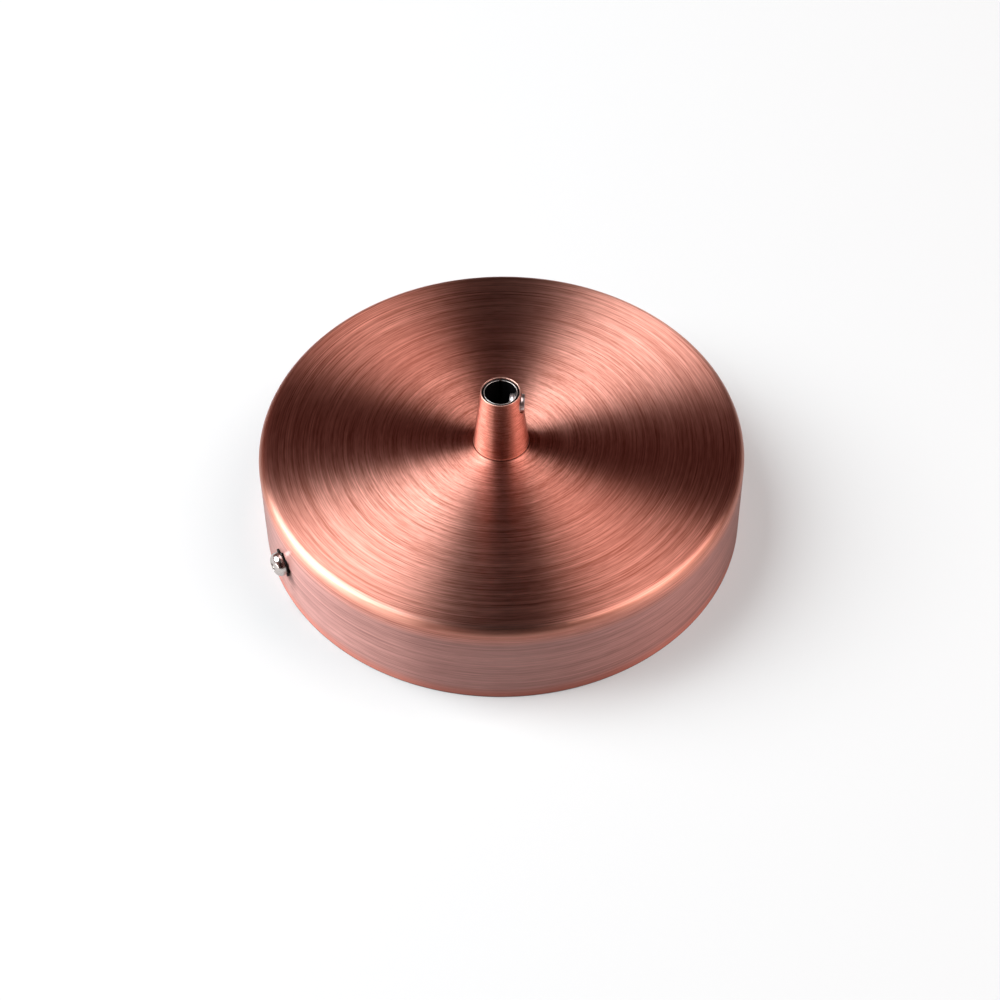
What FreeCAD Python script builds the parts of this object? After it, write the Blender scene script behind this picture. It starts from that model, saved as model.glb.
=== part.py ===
# Electrical ceiling rose, in millimetres: a spun metal cup with a tapered cord grip on top, held by
# two side screws to a strap bracket that carries the terminal block and the earth screw.
# The origin is the centre of the plane that the rim touches, +Z points away from the ceiling, and
# the bracket and the two side screws lie along X.
import FreeCAD, Part
import math
import os
import re

import Sketcher
from FreeCAD import Placement, Rotation, Vector

DRIVING_SIZES = {
    # Cover: the cup, its centre hole and its two side holes
    "cover_diameter": "120",
    "cover_height": "25",
    "cover_wall": "1",
    "cover_corner_radius": "2.5",
    "side_screw_height": "12.5",
    "side_hole_clearance": "0.3",
    "stem_hole_clearance": "0.15",
    # Cord grip: the tapered body and its threaded stem
    "grip_base_diameter": "13.9",
    "grip_top_diameter": "9.8",
    "grip_height": "17.4",
    "grip_rim_wall": "0.3",
    "grip_floor": "3",
    "stem_diameter": "10",
    "stem_length": "8",
    "stem_bore_diameter": "7.6",
    "stem_chamfer": "0.5",
    # Liner: the split sleeve that the cord passes through
    "cord_way_diameter": "7.2",
    "liner_clearance": "0.05",
    "liner_drop": "0.25",
    "liner_guide_length": "8",
    "liner_mouth_flare": "0.3",
    "liner_slit_width": "0.6",
    "liner_slit_angle": "62.5",
    # Clamp screw of the cord grip
    "grip_screw_diameter": "5",
    "grip_screw_length": "3.6",
    "grip_screw_drop": "3.5",
    "grip_screw_proud": "0.47",
    "grip_screw_angle": "-33",
    "grip_slot_width": "0.8",
    "grip_slot_depth": "1",
    # Lock washer and nut on the stem
    "stem_washer_thickness": "0.9",
    "stem_washer_diameter": "15",
    "stem_tooth_reach": "1.5",
    "stem_tooth_width": "2.4",
    "stem_tooth_count": "12",
    "nut_across_flats": "14",
    "nut_thickness": "3",
    # Strap bracket
    "strap_width": "16",
    "strap_thickness": "1.5",
    "strap_lift": "0.3",
    "bend_radius": "1.5",
    "ear_gap": "0.8",
    "ear_width": "12",
    "ear_rise": "5.5",
    "ear_corner_radius": "3",
    "collar_wall": "0.9",
    "ear_collar_length": "1.5",
    "slot_inset": "12.2",
    "slot_width": "4.5",
    "slot_length": "9",
    "supply_hole_diameter": "10.5",
    # Side screws and their toothed washers
    "side_screw_diameter": "3",
    "side_screw_length": "8",
    "side_head_diameter": "6",
    "side_head_height": "2.4",
    "side_head_crown": "1.4",
    "side_washer_thickness": "0.5",
    "side_washer_diameter": "5.8",
    "side_tooth_reach": "0.7",
    "side_tooth_width": "1.1",
    "side_tooth_count": "8",
    "cross_width": "0.9",
    "cross_length": "3",
    "cross_depth": "1.3",
    # Terminal block
    "block_start": "11.5",
    "block_depth": "17",
    "pole_pitch": "9.5",
    "pole_width": "8.2",
    "pole_height": "7.9",
    "pole_bevel": "1.2",
    "web_height": "4",
    "web_depth": "10",
    "boss_diameter": "5.6",
    "boss_rise": "0.5",
    "way_height": "3.9",
    "entry_diameter": "6",
    "entry_depth": "0.9",
    "chimney_diameter": "6",
    "chimney_height": "13",
    "chimney_spacing": "8.4",
    "head_clearance": "0.3",
    # Brass tubes of the terminal block
    "tube_length": "15",
    "tube_width": "4.8",
    "tube_crown": "3.2",
    "way_diameter": "3.2",
    "tube_clearance": "0.05",
    # Terminal screws, shown backed off so that the wire ways are open
    "terminal_screw_diameter": "3",
    "terminal_screw_reach": "4.4",
    "terminal_screw_open": "0.1",
    "terminal_head_diameter": "3.8",
    "terminal_head_height": "1.6",
    "terminal_point_bevel": "0.7",
    "driver_slot_width": "0.6",
    "driver_slot_depth": "0.8",
    # Screws that hold the terminal block
    "fixing_screw_diameter": "3",
    "fixing_screw_length": "10",
    "fixing_head_diameter": "5.5",
    "fixing_head_height": "2",
    "fixing_hole_clearance": "0.1",
    # Earth screw and its washer
    "earth_place": "20",
    "earth_screw_diameter": "4",
    "earth_screw_length": "4",
    "earth_head_diameter": "8",
    "earth_head_height": "2.4",
    "earth_washer_diameter": "9",
    "earth_washer_thickness": "0.8",
    "earth_collar_height": "1.8",
    # Play in threads, the bevel of a screw's point, and play under heads and washers that move
    "thread_clearance": "0.05",
    "point_bevel": "0.4",
    "seat_gap": "0.05",
}
POLE_COUNT = 3

# Lengths that several pieces share, as formulas of the driving sizes
COVER_RADIUS = "cover_diameter / 2"
STEM_HOLE_RADIUS = "(stem_diameter / 2 + stem_hole_clearance)"
GRIP_BORE_RADIUS = "(grip_top_diameter / 2 - grip_rim_wall)"
GRIP_TOP = "(cover_height + grip_height)"
GRIP_SCREW_AXIS = "(cover_height + grip_height - grip_screw_drop)"
GRIP_TAPER = "(grip_base_diameter - grip_top_diameter) / grip_height"
GRIP_SCREW_END = f"((grip_top_diameter + {GRIP_TAPER} * grip_screw_drop) / 2 + grip_screw_proud)"
STRAP_TOP = "(strap_lift + strap_thickness)"
EAR_FACE = "(cover_diameter / 2 - cover_wall - ear_gap)"
EAR_TOP = "(side_screw_height + ear_rise)"
SLOT_PLACE = f"({EAR_FACE} - slot_inset)"
SIDE_HEAD_SEAT = "(cover_diameter / 2 + seat_gap + side_washer_thickness)"
TUBE_TOP = "(way_height + tube_crown)"
BOSS_TOP = "(pole_height + boss_rise)"
EARTH_HEAD_SEAT = f"({STRAP_TOP} + earth_collar_height + seat_gap + earth_washer_thickness)"

# How a sketch counts: its root point, and the start, end and centre of a line or an arc
ROOT, ROOT_POINT = -1, 1
START, END, CENTRE = range(1, 4)
FULL_TURN = 360
HEX_SIDES = 6

document = FreeCAD.newDocument("CeilingRose")
sizes = document.addObject("Spreadsheet::Sheet", "Sizes")
for row, (alias, number) in enumerate(DRIVING_SIZES.items(), start=1):
    sizes.set(f"A{row}", alias.replace("_", " "))
    sizes.set(f"B{row}", number)
    sizes.setAlias(f"B{row}", alias)
document.recompute()
ALIASES = re.compile(r"\b(" + "|".join(DRIVING_SIZES) + r")\b")


def formula(text):
    """The expression that reads the named sizes from the sheet."""
    return ALIASES.sub(r"Sizes.\1", text)


def value(text):
    """What a formula of the sizes comes to."""
    return float(sizes.evalExpression(formula(text)))


def bind(item, path, text):
    """Tie one property to a formula of the sizes."""
    item.setExpression(path, formula(text))


def new_body(label):
    """A sub-part of its own, named as its file."""
    return document.addObject("PartDesign::Body", label)


def sketch_on(body, name, role, lift="0"):
    """An empty sketch on one of the body's own planes, or lifted off it along its normal."""
    sketch = body.newObject("Sketcher::SketchObject", name)
    plane = next(item for item in body.Origin.OriginFeatures if item.Role == role)
    sketch.AttachmentSupport = [(plane, "")]
    sketch.MapMode = "FlatFace"
    bind(sketch, "AttachmentOffset.Base.z", lift)
    return sketch


def hold(sketch, kind, geometry, point, text):
    """Hold one coordinate of a sketch point at a formula of the sizes."""
    limit = Sketcher.Constraint(kind, ROOT, ROOT_POINT, geometry, point, value(text))
    number = sketch.addConstraint(limit)
    bind(sketch, f"Constraints[{number}]", text)


def hold_radius(sketch, geometry, text):
    """Hold the radius of a circle or an arc at a formula of the sizes."""
    number = sketch.addConstraint(Sketcher.Constraint("Radius", geometry, value(text)))
    bind(sketch, f"Constraints[{number}]", text)


def add_line(sketch, start, end):
    """A line between two points given as pairs of formulas, its ends still free."""
    ends = [Vector(value(across), value(up), 0) for across, up in (start, end)]
    return sketch.addGeometry(Part.LineSegment(*ends))


def join_lines(sketch, lines, corners):
    """Join each line's end to the next line's start, at a corner given as a pair of formulas."""
    for line, following, (across, up) in zip(lines, lines[1:], corners):
        sketch.addConstraint(Sketcher.Constraint("Coincident", line, END, following, START))
        hold(sketch, "DistanceX", following, START, across)
        hold(sketch, "DistanceY", following, START, up)


def add_polygon(sketch, corners):
    """A closed outline of straight lines through corners given as pairs of formulas."""
    following = corners[1:] + corners[:1]
    lines = [add_line(sketch, start, end) for start, end in zip(corners, following)]
    join_lines(sketch, lines + lines[:1], following)


def add_rectangle(sketch, left, low, right, high):
    """A rectangle between two corners given as formulas."""
    add_polygon(sketch, [(left, low), (right, low), (right, high), (left, high)])


def add_circle(sketch, across, up, radius):
    """A circle whose centre and radius are formulas."""
    centre = Vector(value(across), value(up), 0)
    circle = sketch.addGeometry(Part.Circle(centre, Vector(0, 0, 1), value(radius)))
    hold(sketch, "DistanceX", circle, CENTRE, across)
    hold(sketch, "DistanceY", circle, CENTRE, up)
    hold_radius(sketch, circle, radius)


def add_round(sketch, before, after, across, up, radius, start_degrees, inward=False):
    """A quarter round between two lines of an outline, its centre and radius given as formulas."""
    start_angle = math.radians(start_degrees)
    circle = Part.Circle(Vector(value(across), value(up), 0), Vector(0, 0, 1), value(radius))
    arc = sketch.addGeometry(Part.ArcOfCircle(circle, start_angle, start_angle + math.pi / 2))
    hold(sketch, "DistanceX", arc, CENTRE, across)
    hold(sketch, "DistanceY", arc, CENTRE, up)
    hold_radius(sketch, arc, radius)
    near, far = (END, START) if inward else (START, END)
    sketch.addConstraint(Sketcher.Constraint("Tangent", before, END, arc, near))
    sketch.addConstraint(Sketcher.Constraint("Tangent", arc, far, after, START))


def add_slot(sketch, across, length, width):
    """A slot along the sketch's first axis, centred on that axis."""
    radius = value(f"{width} / 2")
    reach = f"({length} - {width}) / 2"
    ends = []
    for side, start_angle in (("+", -math.pi / 2), ("-", math.pi / 2)):
        place = f"{across} {side} {reach}"
        circle = Part.Circle(Vector(value(place), 0, 0), Vector(0, 0, 1), radius)
        arc = sketch.addGeometry(Part.ArcOfCircle(circle, start_angle, start_angle + math.pi))
        hold(sketch, "DistanceX", arc, CENTRE, place)
        hold(sketch, "DistanceY", arc, CENTRE, "0")
        ends.append((arc, value(place)))
    (right, right_place), (left, left_place) = ends
    upper = sketch.addGeometry(
        Part.LineSegment(Vector(right_place, radius, 0), Vector(left_place, radius, 0)))
    lower = sketch.addGeometry(
        Part.LineSegment(Vector(left_place, -radius, 0), Vector(right_place, -radius, 0)))
    for joined in ((right, END, upper, START), (upper, END, left, START),
                   (left, END, lower, START), (lower, END, right, START)):
        sketch.addConstraint(Sketcher.Constraint("Tangent", *joined))
    hold_radius(sketch, right, f"{width} / 2")


def set_tip(body, feature):
    """Make a feature the body's last one and work it out."""
    body.Tip = feature
    document.recompute()
    return feature


def pad(body, sketch, name, length, both_ways=False):
    """Add the sketch's outline along its normal, or half of the length each way."""
    feature = body.newObject("PartDesign::Pad", name)
    feature.Profile = sketch
    bind(feature, "Length", length)
    if both_ways:
        feature.SideType = "Symmetric"
    return set_tip(body, feature)


def pocket(body, sketch, name, depth):
    """Cut the sketch's outline to a depth, against its normal."""
    feature = body.newObject("PartDesign::Pocket", name)
    feature.Profile = sketch
    bind(feature, "Length", depth)
    return set_tip(body, feature)


def cut_through(body, sketch, name, both_ways=True):
    """Cut the sketch's outline right through, both ways or only along its normal."""
    feature = body.newObject("PartDesign::Pocket", name)
    feature.Profile = sketch
    feature.Type = "ThroughAll"
    if both_ways:
        feature.SideType = "Symmetric"
    else:
        feature.Reversed = True
    return set_tip(body, feature)


def turn(body, sketch, name, axis="V_Axis", kind="PartDesign::Revolution"):
    """Turn the sketch's outline once round one of its axes, as solid or as a groove."""
    feature = body.newObject(kind, name)
    feature.Profile = sketch
    feature.ReferenceAxis = (sketch, [axis])
    feature.Angle = FULL_TURN
    return set_tip(body, feature)


def round_edges(body, name, edges, radius):
    """Round the named edges of the body's last feature."""
    last = body.Tip
    feature = body.newObject("PartDesign::Fillet", name)
    feature.Base = (last, edges)
    bind(feature, "Radius", radius)
    return set_tip(body, feature)


def bevel_edges(body, name, edges, size):
    """Bevel the named edges of the body's last feature."""
    last = body.Tip
    feature = body.newObject("PartDesign::Chamfer", name)
    feature.Base = (last, edges)
    bind(feature, "Size", size)
    return set_tip(body, feature)


def ring_edges(body, radius, place, axis="z"):
    """Names of the circles of one radius whose centres lie at one place along an axis."""
    names = []
    for number, edge in enumerate(body.Tip.Shape.Edges, start=1):
        if not isinstance(edge.Curve, Part.Circle):
            continue
        same_radius = math.isclose(edge.Curve.Radius, value(radius), abs_tol=1e-6)
        same_place = math.isclose(getattr(edge.Curve.Center, axis), value(place), abs_tol=1e-6)
        if same_radius and same_place:
            names.append(f"Edge{number}")
    return names


def straight_edges(body, axis, places):
    """Names of the edges along an axis whose other two coordinates are each one of the places."""
    others = [name for name in ("x", "y", "z") if name != axis]
    targets = [(value(first), value(second)) for first, second in places]
    names = []
    for number, edge in enumerate(body.Tip.Shape.Edges, start=1):
        ends = [vertex.Point for vertex in edge.Vertexes]
        if len(ends) != 2:
            continue
        spots = [tuple(getattr(point, name) for name in others) for point in ends]
        for target in targets:
            if all(math.dist(spot, target) < 1e-6 for spot in spots):
                names.append(f"Edge{number}")
    return names


def repeat_round(body, sketch, name, originals, count):
    """Repeat features evenly round the sketch's normal."""
    feature = body.newObject("PartDesign::PolarPattern", name)
    feature.Originals = originals
    feature.Axis = (sketch, ["N_Axis"])
    feature.Angle = FULL_TURN
    bind(feature, "Occurrences", count)
    return set_tip(body, feature)


def mirror(body, name, originals, role):
    """Repeat features on the other side of one of the body's planes."""
    feature = body.newObject("PartDesign::Mirrored", name)
    feature.Originals = originals
    plane = next(item for item in body.Origin.OriginFeatures if item.Role == role)
    feature.MirrorPlane = (plane, [""])
    return set_tip(body, feature)


def place(body, across="0", along="0", up="0", turned="0"):
    """Put a finished sub-part where it belongs, turned about the vertical."""
    body.Placement = Placement(Vector(0, 0, 0), Rotation(Vector(0, 0, 1), 1))
    bind(body, "Placement.Base.x", across)
    bind(body, "Placement.Base.y", along)
    bind(body, "Placement.Base.z", up)
    bind(body, "Placement.Rotation.Angle", turned)
    document.recompute()
    return body


# Cover


def make_cover():
    """The cup: a flat top with a centre hole, a rounded corner and a straight side wall."""
    body = new_body("cover")
    section = sketch_on(body, "CoverSection", "XZ_Plane")
    inner_radius = f"{COVER_RADIUS} - cover_wall"
    under_top = "cover_height - cover_wall"
    round_across = f"{COVER_RADIUS} - cover_corner_radius"
    round_up = "cover_height - cover_corner_radius"
    underside = add_line(section, (STEM_HOLE_RADIUS, under_top), (round_across, under_top))
    inner_wall = add_line(section, (inner_radius, round_up), (inner_radius, "0"))
    rim = add_line(section, (inner_radius, "0"), (COVER_RADIUS, "0"))
    outer_wall = add_line(section, (COVER_RADIUS, "0"), (COVER_RADIUS, round_up))
    top = add_line(section, (round_across, "cover_height"), (STEM_HOLE_RADIUS, "cover_height"))
    hole_edge = add_line(section, (STEM_HOLE_RADIUS, "cover_height"), (STEM_HOLE_RADIUS, under_top))
    join_lines(section, [inner_wall, rim, outer_wall], [(inner_radius, "0"), (COVER_RADIUS, "0")])
    join_lines(section, [top, hole_edge, underside],
               [(STEM_HOLE_RADIUS, "cover_height"), (STEM_HOLE_RADIUS, under_top)])
    add_round(section, underside, inner_wall, round_across, round_up,
              "cover_corner_radius - cover_wall", 0, inward=True)
    add_round(section, outer_wall, top, round_across, round_up, "cover_corner_radius", 0)
    turn(body, section, "Cup")
    holes = sketch_on(body, "SideHoles", "YZ_Plane")
    add_circle(holes, "0", "side_screw_height", "side_screw_diameter / 2 + side_hole_clearance")
    cut_through(body, holes, "SideHoleCut")
    return place(body)


# Cord grip


def make_grip_body():
    """The turned cone with its threaded stem, stepped bore and clamp screw hole."""
    body = new_body("cord_grip_body")
    section = sketch_on(body, "GripSection", "XZ_Plane")
    add_polygon(section, [
        ("stem_bore_diameter / 2", "cover_height - stem_length"),
        ("stem_diameter / 2", "cover_height - stem_length"),
        ("stem_diameter / 2", "cover_height"),
        ("grip_base_diameter / 2", "cover_height"),
        ("grip_top_diameter / 2", GRIP_TOP),
        (GRIP_BORE_RADIUS, GRIP_TOP),
        (GRIP_BORE_RADIUS, "cover_height + grip_floor"),
        ("stem_bore_diameter / 2", "cover_height + grip_floor"),
    ])
    turn(body, section, "Cone")
    stem_end = ring_edges(body, "stem_diameter / 2", "cover_height - stem_length")
    bevel_edges(body, "StemBevel", stem_end, "stem_chamfer")
    hole = sketch_on(body, "ClampHole", "YZ_Plane")
    add_circle(hole, "0", GRIP_SCREW_AXIS, "grip_screw_diameter / 2 + thread_clearance")
    cut_through(body, hole, "ClampHoleCut", both_ways=False)
    return place(body, turned="grip_screw_angle")


def make_grip_liner():
    """The split sleeve inside the cone, parallel below and flared towards its mouth."""
    body = new_body("grip_liner")
    section = sketch_on(body, "LinerSection", "XZ_Plane")
    foot = "cover_height + grip_floor + liner_clearance"
    mouth = f"{GRIP_TOP} - liner_drop"
    outside = f"{GRIP_BORE_RADIUS} - liner_clearance"
    add_polygon(section, [
        ("cord_way_diameter / 2", foot),
        (outside, foot),
        (outside, mouth),
        ("cord_way_diameter / 2 + liner_mouth_flare", mouth),
        ("cord_way_diameter / 2", f"{foot} + liner_guide_length"),
    ])
    turn(body, section, "Sleeve")
    hole = sketch_on(body, "ClampHole", "YZ_Plane")
    add_circle(hole, "0", GRIP_SCREW_AXIS, "grip_screw_diameter / 2 + thread_clearance")
    cut_through(body, hole, "ClampHoleCut", both_ways=False)
    slit = sketch_on(body, "Slit", "XY_Plane")
    bind(slit, "AttachmentOffset.Rotation.Angle", "liner_slit_angle - grip_screw_angle")
    add_rectangle(slit, "0", "-liner_slit_width / 2", "grip_top_diameter / 2", "liner_slit_width / 2")
    cut_through(body, slit, "SlitCut")
    return place(body, turned="grip_screw_angle")


def make_grip_screw():
    """The slotted clamp screw, without a head, that presses on the cord from the side."""
    body = new_body("grip_screw")
    section = sketch_on(body, "ScrewSection", "XZ_Plane")
    point = f"{GRIP_SCREW_END} - grip_screw_length"
    add_polygon(section, [
        (point, "0"),
        (GRIP_SCREW_END, "0"),
        (GRIP_SCREW_END, "grip_screw_diameter / 2"),
        (f"{point} + point_bevel", "grip_screw_diameter / 2"),
        (point, "grip_screw_diameter / 2 - point_bevel"),
    ])
    turn(body, section, "Shank", axis="H_Axis")
    slot = sketch_on(body, "DriverSlot", "YZ_Plane", GRIP_SCREW_END)
    add_rectangle(slot, "-grip_screw_diameter", "-grip_slot_width / 2",
                  "grip_screw_diameter", "grip_slot_width / 2")
    pocket(body, slot, "DriverSlotCut", "grip_slot_depth")
    return place(body, up=GRIP_SCREW_AXIS, turned="grip_screw_angle")


def make_toothed_washer(label, role, seat, sizing):
    """An external-tooth lock washer: a flat ring with a pattern of teeth round its edge."""
    body = new_body(label)
    ring = sketch_on(body, "Ring", role, seat)
    add_circle(ring, "0", "0", f"{sizing}_washer_diameter / 2")
    bore = {"stem": "stem_diameter / 2 + thread_clearance",
            "side": "side_screw_diameter / 2 + thread_clearance"}[sizing]
    add_circle(ring, "0", "0", bore)
    pad(body, ring, "RingPad", f"{sizing}_washer_thickness")
    tooth = sketch_on(body, "Tooth", role, seat)
    inside = f"{sizing}_washer_diameter / 2 - {sizing}_tooth_reach / 2"
    tip = f"{sizing}_washer_diameter / 2 + {sizing}_tooth_reach"
    add_polygon(tooth, [
        (inside, f"-{sizing}_tooth_width / 2"),
        (tip, f"-{sizing}_tooth_width / 4"),
        (tip, f"{sizing}_tooth_width / 4"),
        (inside, f"{sizing}_tooth_width / 2"),
    ])
    first_tooth = pad(body, tooth, "FirstTooth", f"{sizing}_washer_thickness")
    repeat_round(body, ring, "Teeth", [first_tooth], f"{sizing}_tooth_count")
    return body


def make_grip_nut():
    """The thin hexagon nut that holds the stem, bevelled at both faces."""
    body = new_body("grip_nut")
    nut_top = "cover_height - cover_wall - stem_washer_thickness"
    outline = sketch_on(body, "Hexagon", "XY_Plane", f"{nut_top} - nut_thickness")
    corner = f"nut_across_flats / 2 / cos({FULL_TURN // HEX_SIDES // 2})"
    turns = [FULL_TURN // HEX_SIDES * step for step in range(HEX_SIDES)]
    add_polygon(outline, [(f"{corner} * cos({turned})", f"{corner} * sin({turned})") for turned in turns])
    add_circle(outline, "0", "0", "stem_diameter / 2 + thread_clearance")
    pad(body, outline, "NutPad", "nut_thickness")
    bevels = sketch_on(body, "CornerBevels", "XZ_Plane")
    outside = f"({corner} + nut_thickness)"
    fall = f"({outside} - nut_across_flats / 2) * tan({FULL_TURN // HEX_SIDES // 2})"
    for face, side in ((nut_top, "-"), (f"{nut_top} - nut_thickness", "+")):
        add_polygon(bevels, [
            ("nut_across_flats / 2", face),
            (outside, face),
            (outside, f"{face} {side} {fall}"),
        ])
    turn(body, bevels, "BevelGroove", kind="PartDesign::Groove")
    return place(body)


# Bracket


def make_bracket():
    """The U-shaped strap: slots for the ceiling screws, and tapped collars in its two ears."""
    body = new_body("bracket")
    section = sketch_on(body, "StrapSection", "XZ_Plane")
    ear_back = f"({EAR_FACE} - strap_thickness)"
    add_polygon(section, [
        (f"-{EAR_FACE}", "strap_lift"),
        (EAR_FACE, "strap_lift"),
        (EAR_FACE, EAR_TOP),
        (ear_back, EAR_TOP),
        (ear_back, STRAP_TOP),
        (f"-{ear_back}", STRAP_TOP),
        (f"-{ear_back}", EAR_TOP),
        (f"-{EAR_FACE}", EAR_TOP),
    ])
    pad(body, section, "Strap", "strap_width", both_ways=True)
    inner_bends = straight_edges(body, "y", [(ear_back, STRAP_TOP), (f"-{ear_back}", STRAP_TOP)])
    round_edges(body, "InnerBends", inner_bends, "bend_radius")
    outer_bends = straight_edges(body, "y", [(EAR_FACE, "strap_lift"), (f"-{EAR_FACE}", "strap_lift")])
    round_edges(body, "OuterBends", outer_bends, "bend_radius + strap_thickness")

    trims = sketch_on(body, "EarTrims", "YZ_Plane")
    ear_foot = f"{STRAP_TOP} + bend_radius"
    add_rectangle(trims, "ear_width / 2", ear_foot, "strap_width", f"{EAR_TOP} + strap_thickness")
    add_rectangle(trims, "-strap_width", ear_foot, "-ear_width / 2", f"{EAR_TOP} + strap_thickness")
    cut_through(body, trims, "EarTrimCut")
    ear_corners = straight_edges(body, "x", [("ear_width / 2", EAR_TOP), ("-ear_width / 2", EAR_TOP)])
    round_edges(body, "EarCorners", ear_corners, "ear_corner_radius")

    collar = sketch_on(body, "EarCollar", "YZ_Plane", f"{ear_back} - ear_collar_length")
    add_circle(collar, "0", "side_screw_height", "side_screw_diameter / 2 + collar_wall")
    right_collar = pad(body, collar, "RightCollar", "ear_collar_length + strap_thickness / 2")
    mirror(body, "BothCollars", [right_collar], "YZ_Plane")
    ear_holes = sketch_on(body, "EarHoles", "YZ_Plane")
    add_circle(ear_holes, "0", "side_screw_height", "side_screw_diameter / 2 + thread_clearance")
    cut_through(body, ear_holes, "EarHoleCut")

    earth_collar = sketch_on(body, "EarthCollar", "XY_Plane", STRAP_TOP)
    add_circle(earth_collar, "-earth_place", "0", "earth_screw_diameter / 2 + collar_wall")
    pad(body, earth_collar, "EarthCollarPad", "earth_collar_height")
    slots = sketch_on(body, "CeilingSlots", "XY_Plane")
    add_slot(slots, SLOT_PLACE, "slot_length", "slot_width")
    add_slot(slots, f"-{SLOT_PLACE}", "slot_length", "slot_width")
    cut_through(body, slots, "CeilingSlotCut")
    holes = sketch_on(body, "StrapHoles", "XY_Plane")
    add_circle(holes, "0", "0", "supply_hole_diameter / 2")
    add_circle(holes, "-earth_place", "0", "earth_screw_diameter / 2 + thread_clearance")
    for pole in range(1, POLE_COUNT):
        add_circle(holes, f"block_start + {pole} * pole_pitch", "0",
                   "fixing_screw_diameter / 2 + thread_clearance")
    cut_through(body, holes, "StrapHoleCut")
    return place(body)


# Side screws


def make_side_screw(label, turned):
    """A pan-head screw with a cross recess, through the cover's side into the bracket's ear."""
    body = new_body(label)
    section = sketch_on(body, "ScrewSection", "XZ_Plane")
    head_top = f"({SIDE_HEAD_SEAT} + side_head_height)"
    point = f"{SIDE_HEAD_SEAT} - side_screw_length"
    add_polygon(section, [
        (point, "0"),
        (head_top, "0"),
        (head_top, "side_head_diameter / 2"),
        (SIDE_HEAD_SEAT, "side_head_diameter / 2"),
        (SIDE_HEAD_SEAT, "side_screw_diameter / 2"),
        (f"{point} + point_bevel", "side_screw_diameter / 2"),
        (point, "side_screw_diameter / 2 - point_bevel"),
    ])
    turn(body, section, "Screw", axis="H_Axis")
    rim = ring_edges(body, "side_head_diameter / 2", head_top, "x")
    round_edges(body, "HeadCrown", rim, "side_head_crown")
    cross = sketch_on(body, "CrossRecess", "YZ_Plane", head_top)
    arm, half = "cross_length / 2", "cross_width / 2"
    add_polygon(cross, [
        (arm, f"-{half}"), (arm, half), (half, half), (half, arm),
        (f"-{half}", arm), (f"-{half}", half), (f"-{arm}", half), (f"-{arm}", f"-{half}"),
        (f"-{half}", f"-{half}"), (f"-{half}", f"-{arm}"), (half, f"-{arm}"), (half, f"-{half}"),
    ])
    pocket(body, cross, "CrossCut", "cross_depth")
    return place(body, up="side_screw_height", turned=turned)


# Terminal block


def make_terminal_block():
    """The moulding: a barrel for each pole with two screw chimneys, joined by webs and bosses."""
    body = new_body("terminal_block")
    webs = sketch_on(body, "Webs", "XY_Plane")
    half_pole = "pole_width / 2"
    add_rectangle(webs, f"pole_pitch / 2 - {half_pole}", "-web_depth / 2",
                  f"pole_pitch * {POLE_COUNT} - pole_pitch / 2 + {half_pole}", "web_depth / 2")
    pad(body, webs, "WebPad", "web_height")
    bosses = sketch_on(body, "Bosses", "XY_Plane")
    for pole in range(1, POLE_COUNT):
        add_circle(bosses, f"{pole} * pole_pitch", "0", "boss_diameter / 2")
    pad(body, bosses, "BossPad", BOSS_TOP)

    barrel = sketch_on(body, "Barrel", "XZ_Plane")
    left = f"pole_pitch / 2 - {half_pole}"
    right = f"pole_pitch / 2 + {half_pole}"
    add_polygon(barrel, [
        (left, "0"),
        (right, "0"),
        (right, "pole_height - pole_bevel"),
        (f"{right} - pole_bevel", "pole_height"),
        (f"{left} + pole_bevel", "pole_height"),
        (left, "pole_height - pole_bevel"),
    ])
    features = [pad(body, barrel, "BarrelPad", "block_depth", both_ways=True)]
    chimneys = sketch_on(body, "Chimneys", "XY_Plane")
    bores = sketch_on(body, "ChimneyBores", "XY_Plane", "chimney_height")
    for side in ("", "-"):
        row = f"{side}chimney_spacing / 2"
        add_circle(chimneys, "pole_pitch / 2", row, "chimney_diameter / 2")
        add_circle(bores, "pole_pitch / 2", row, "terminal_head_diameter / 2 + head_clearance")
    features.append(pad(body, chimneys, "ChimneyPad", "chimney_height"))
    features.append(pocket(body, bores, "ChimneyBoreCut", f"chimney_height - {TUBE_TOP}"))
    tunnel = sketch_on(body, "TubeTunnel", "XZ_Plane")
    add_circle(tunnel, "pole_pitch / 2", "way_height", "tube_width / 2 + tube_clearance")
    features.append(cut_through(body, tunnel, "TunnelCut"))
    crown = sketch_on(body, "TubeCrown", "XZ_Plane")
    add_rectangle(crown, "pole_pitch / 2 - tube_width / 2 - tube_clearance", "way_height",
                  "pole_pitch / 2 + tube_width / 2 + tube_clearance", f"{TUBE_TOP} + tube_clearance")
    features.append(cut_through(body, crown, "CrownCut"))
    entry = sketch_on(body, "WireEntry", "XZ_Plane", "block_depth / 2")
    add_circle(entry, "pole_pitch / 2", "way_height", "entry_diameter / 2")
    front_entry = pocket(body, entry, "FrontEntry", "entry_depth")
    features.append(front_entry)
    far_entry = sketch_on(body, "FarWireEntry", "XZ_Plane", "entry_depth - block_depth / 2")
    add_circle(far_entry, "pole_pitch / 2", "way_height", "entry_diameter / 2")
    features.append(pocket(body, far_entry, "FarEntry", "entry_depth"))

    poles = body.newObject("PartDesign::LinearPattern", "Poles")
    poles.Originals = features
    poles.Direction = (webs, ["H_Axis"])
    poles.Mode = "Extent"
    bind(poles, "Length", f"pole_pitch * {POLE_COUNT - 1}")
    poles.Occurrences = POLE_COUNT
    set_tip(body, poles)
    fixing_holes = sketch_on(body, "FixingHoles", "XY_Plane")
    for pole in range(1, POLE_COUNT):
        add_circle(fixing_holes, f"{pole} * pole_pitch", "0",
                   "fixing_screw_diameter / 2 + fixing_hole_clearance")
    cut_through(body, fixing_holes, "FixingHoleCut")
    return place(body, across="block_start", up=STRAP_TOP)


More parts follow.
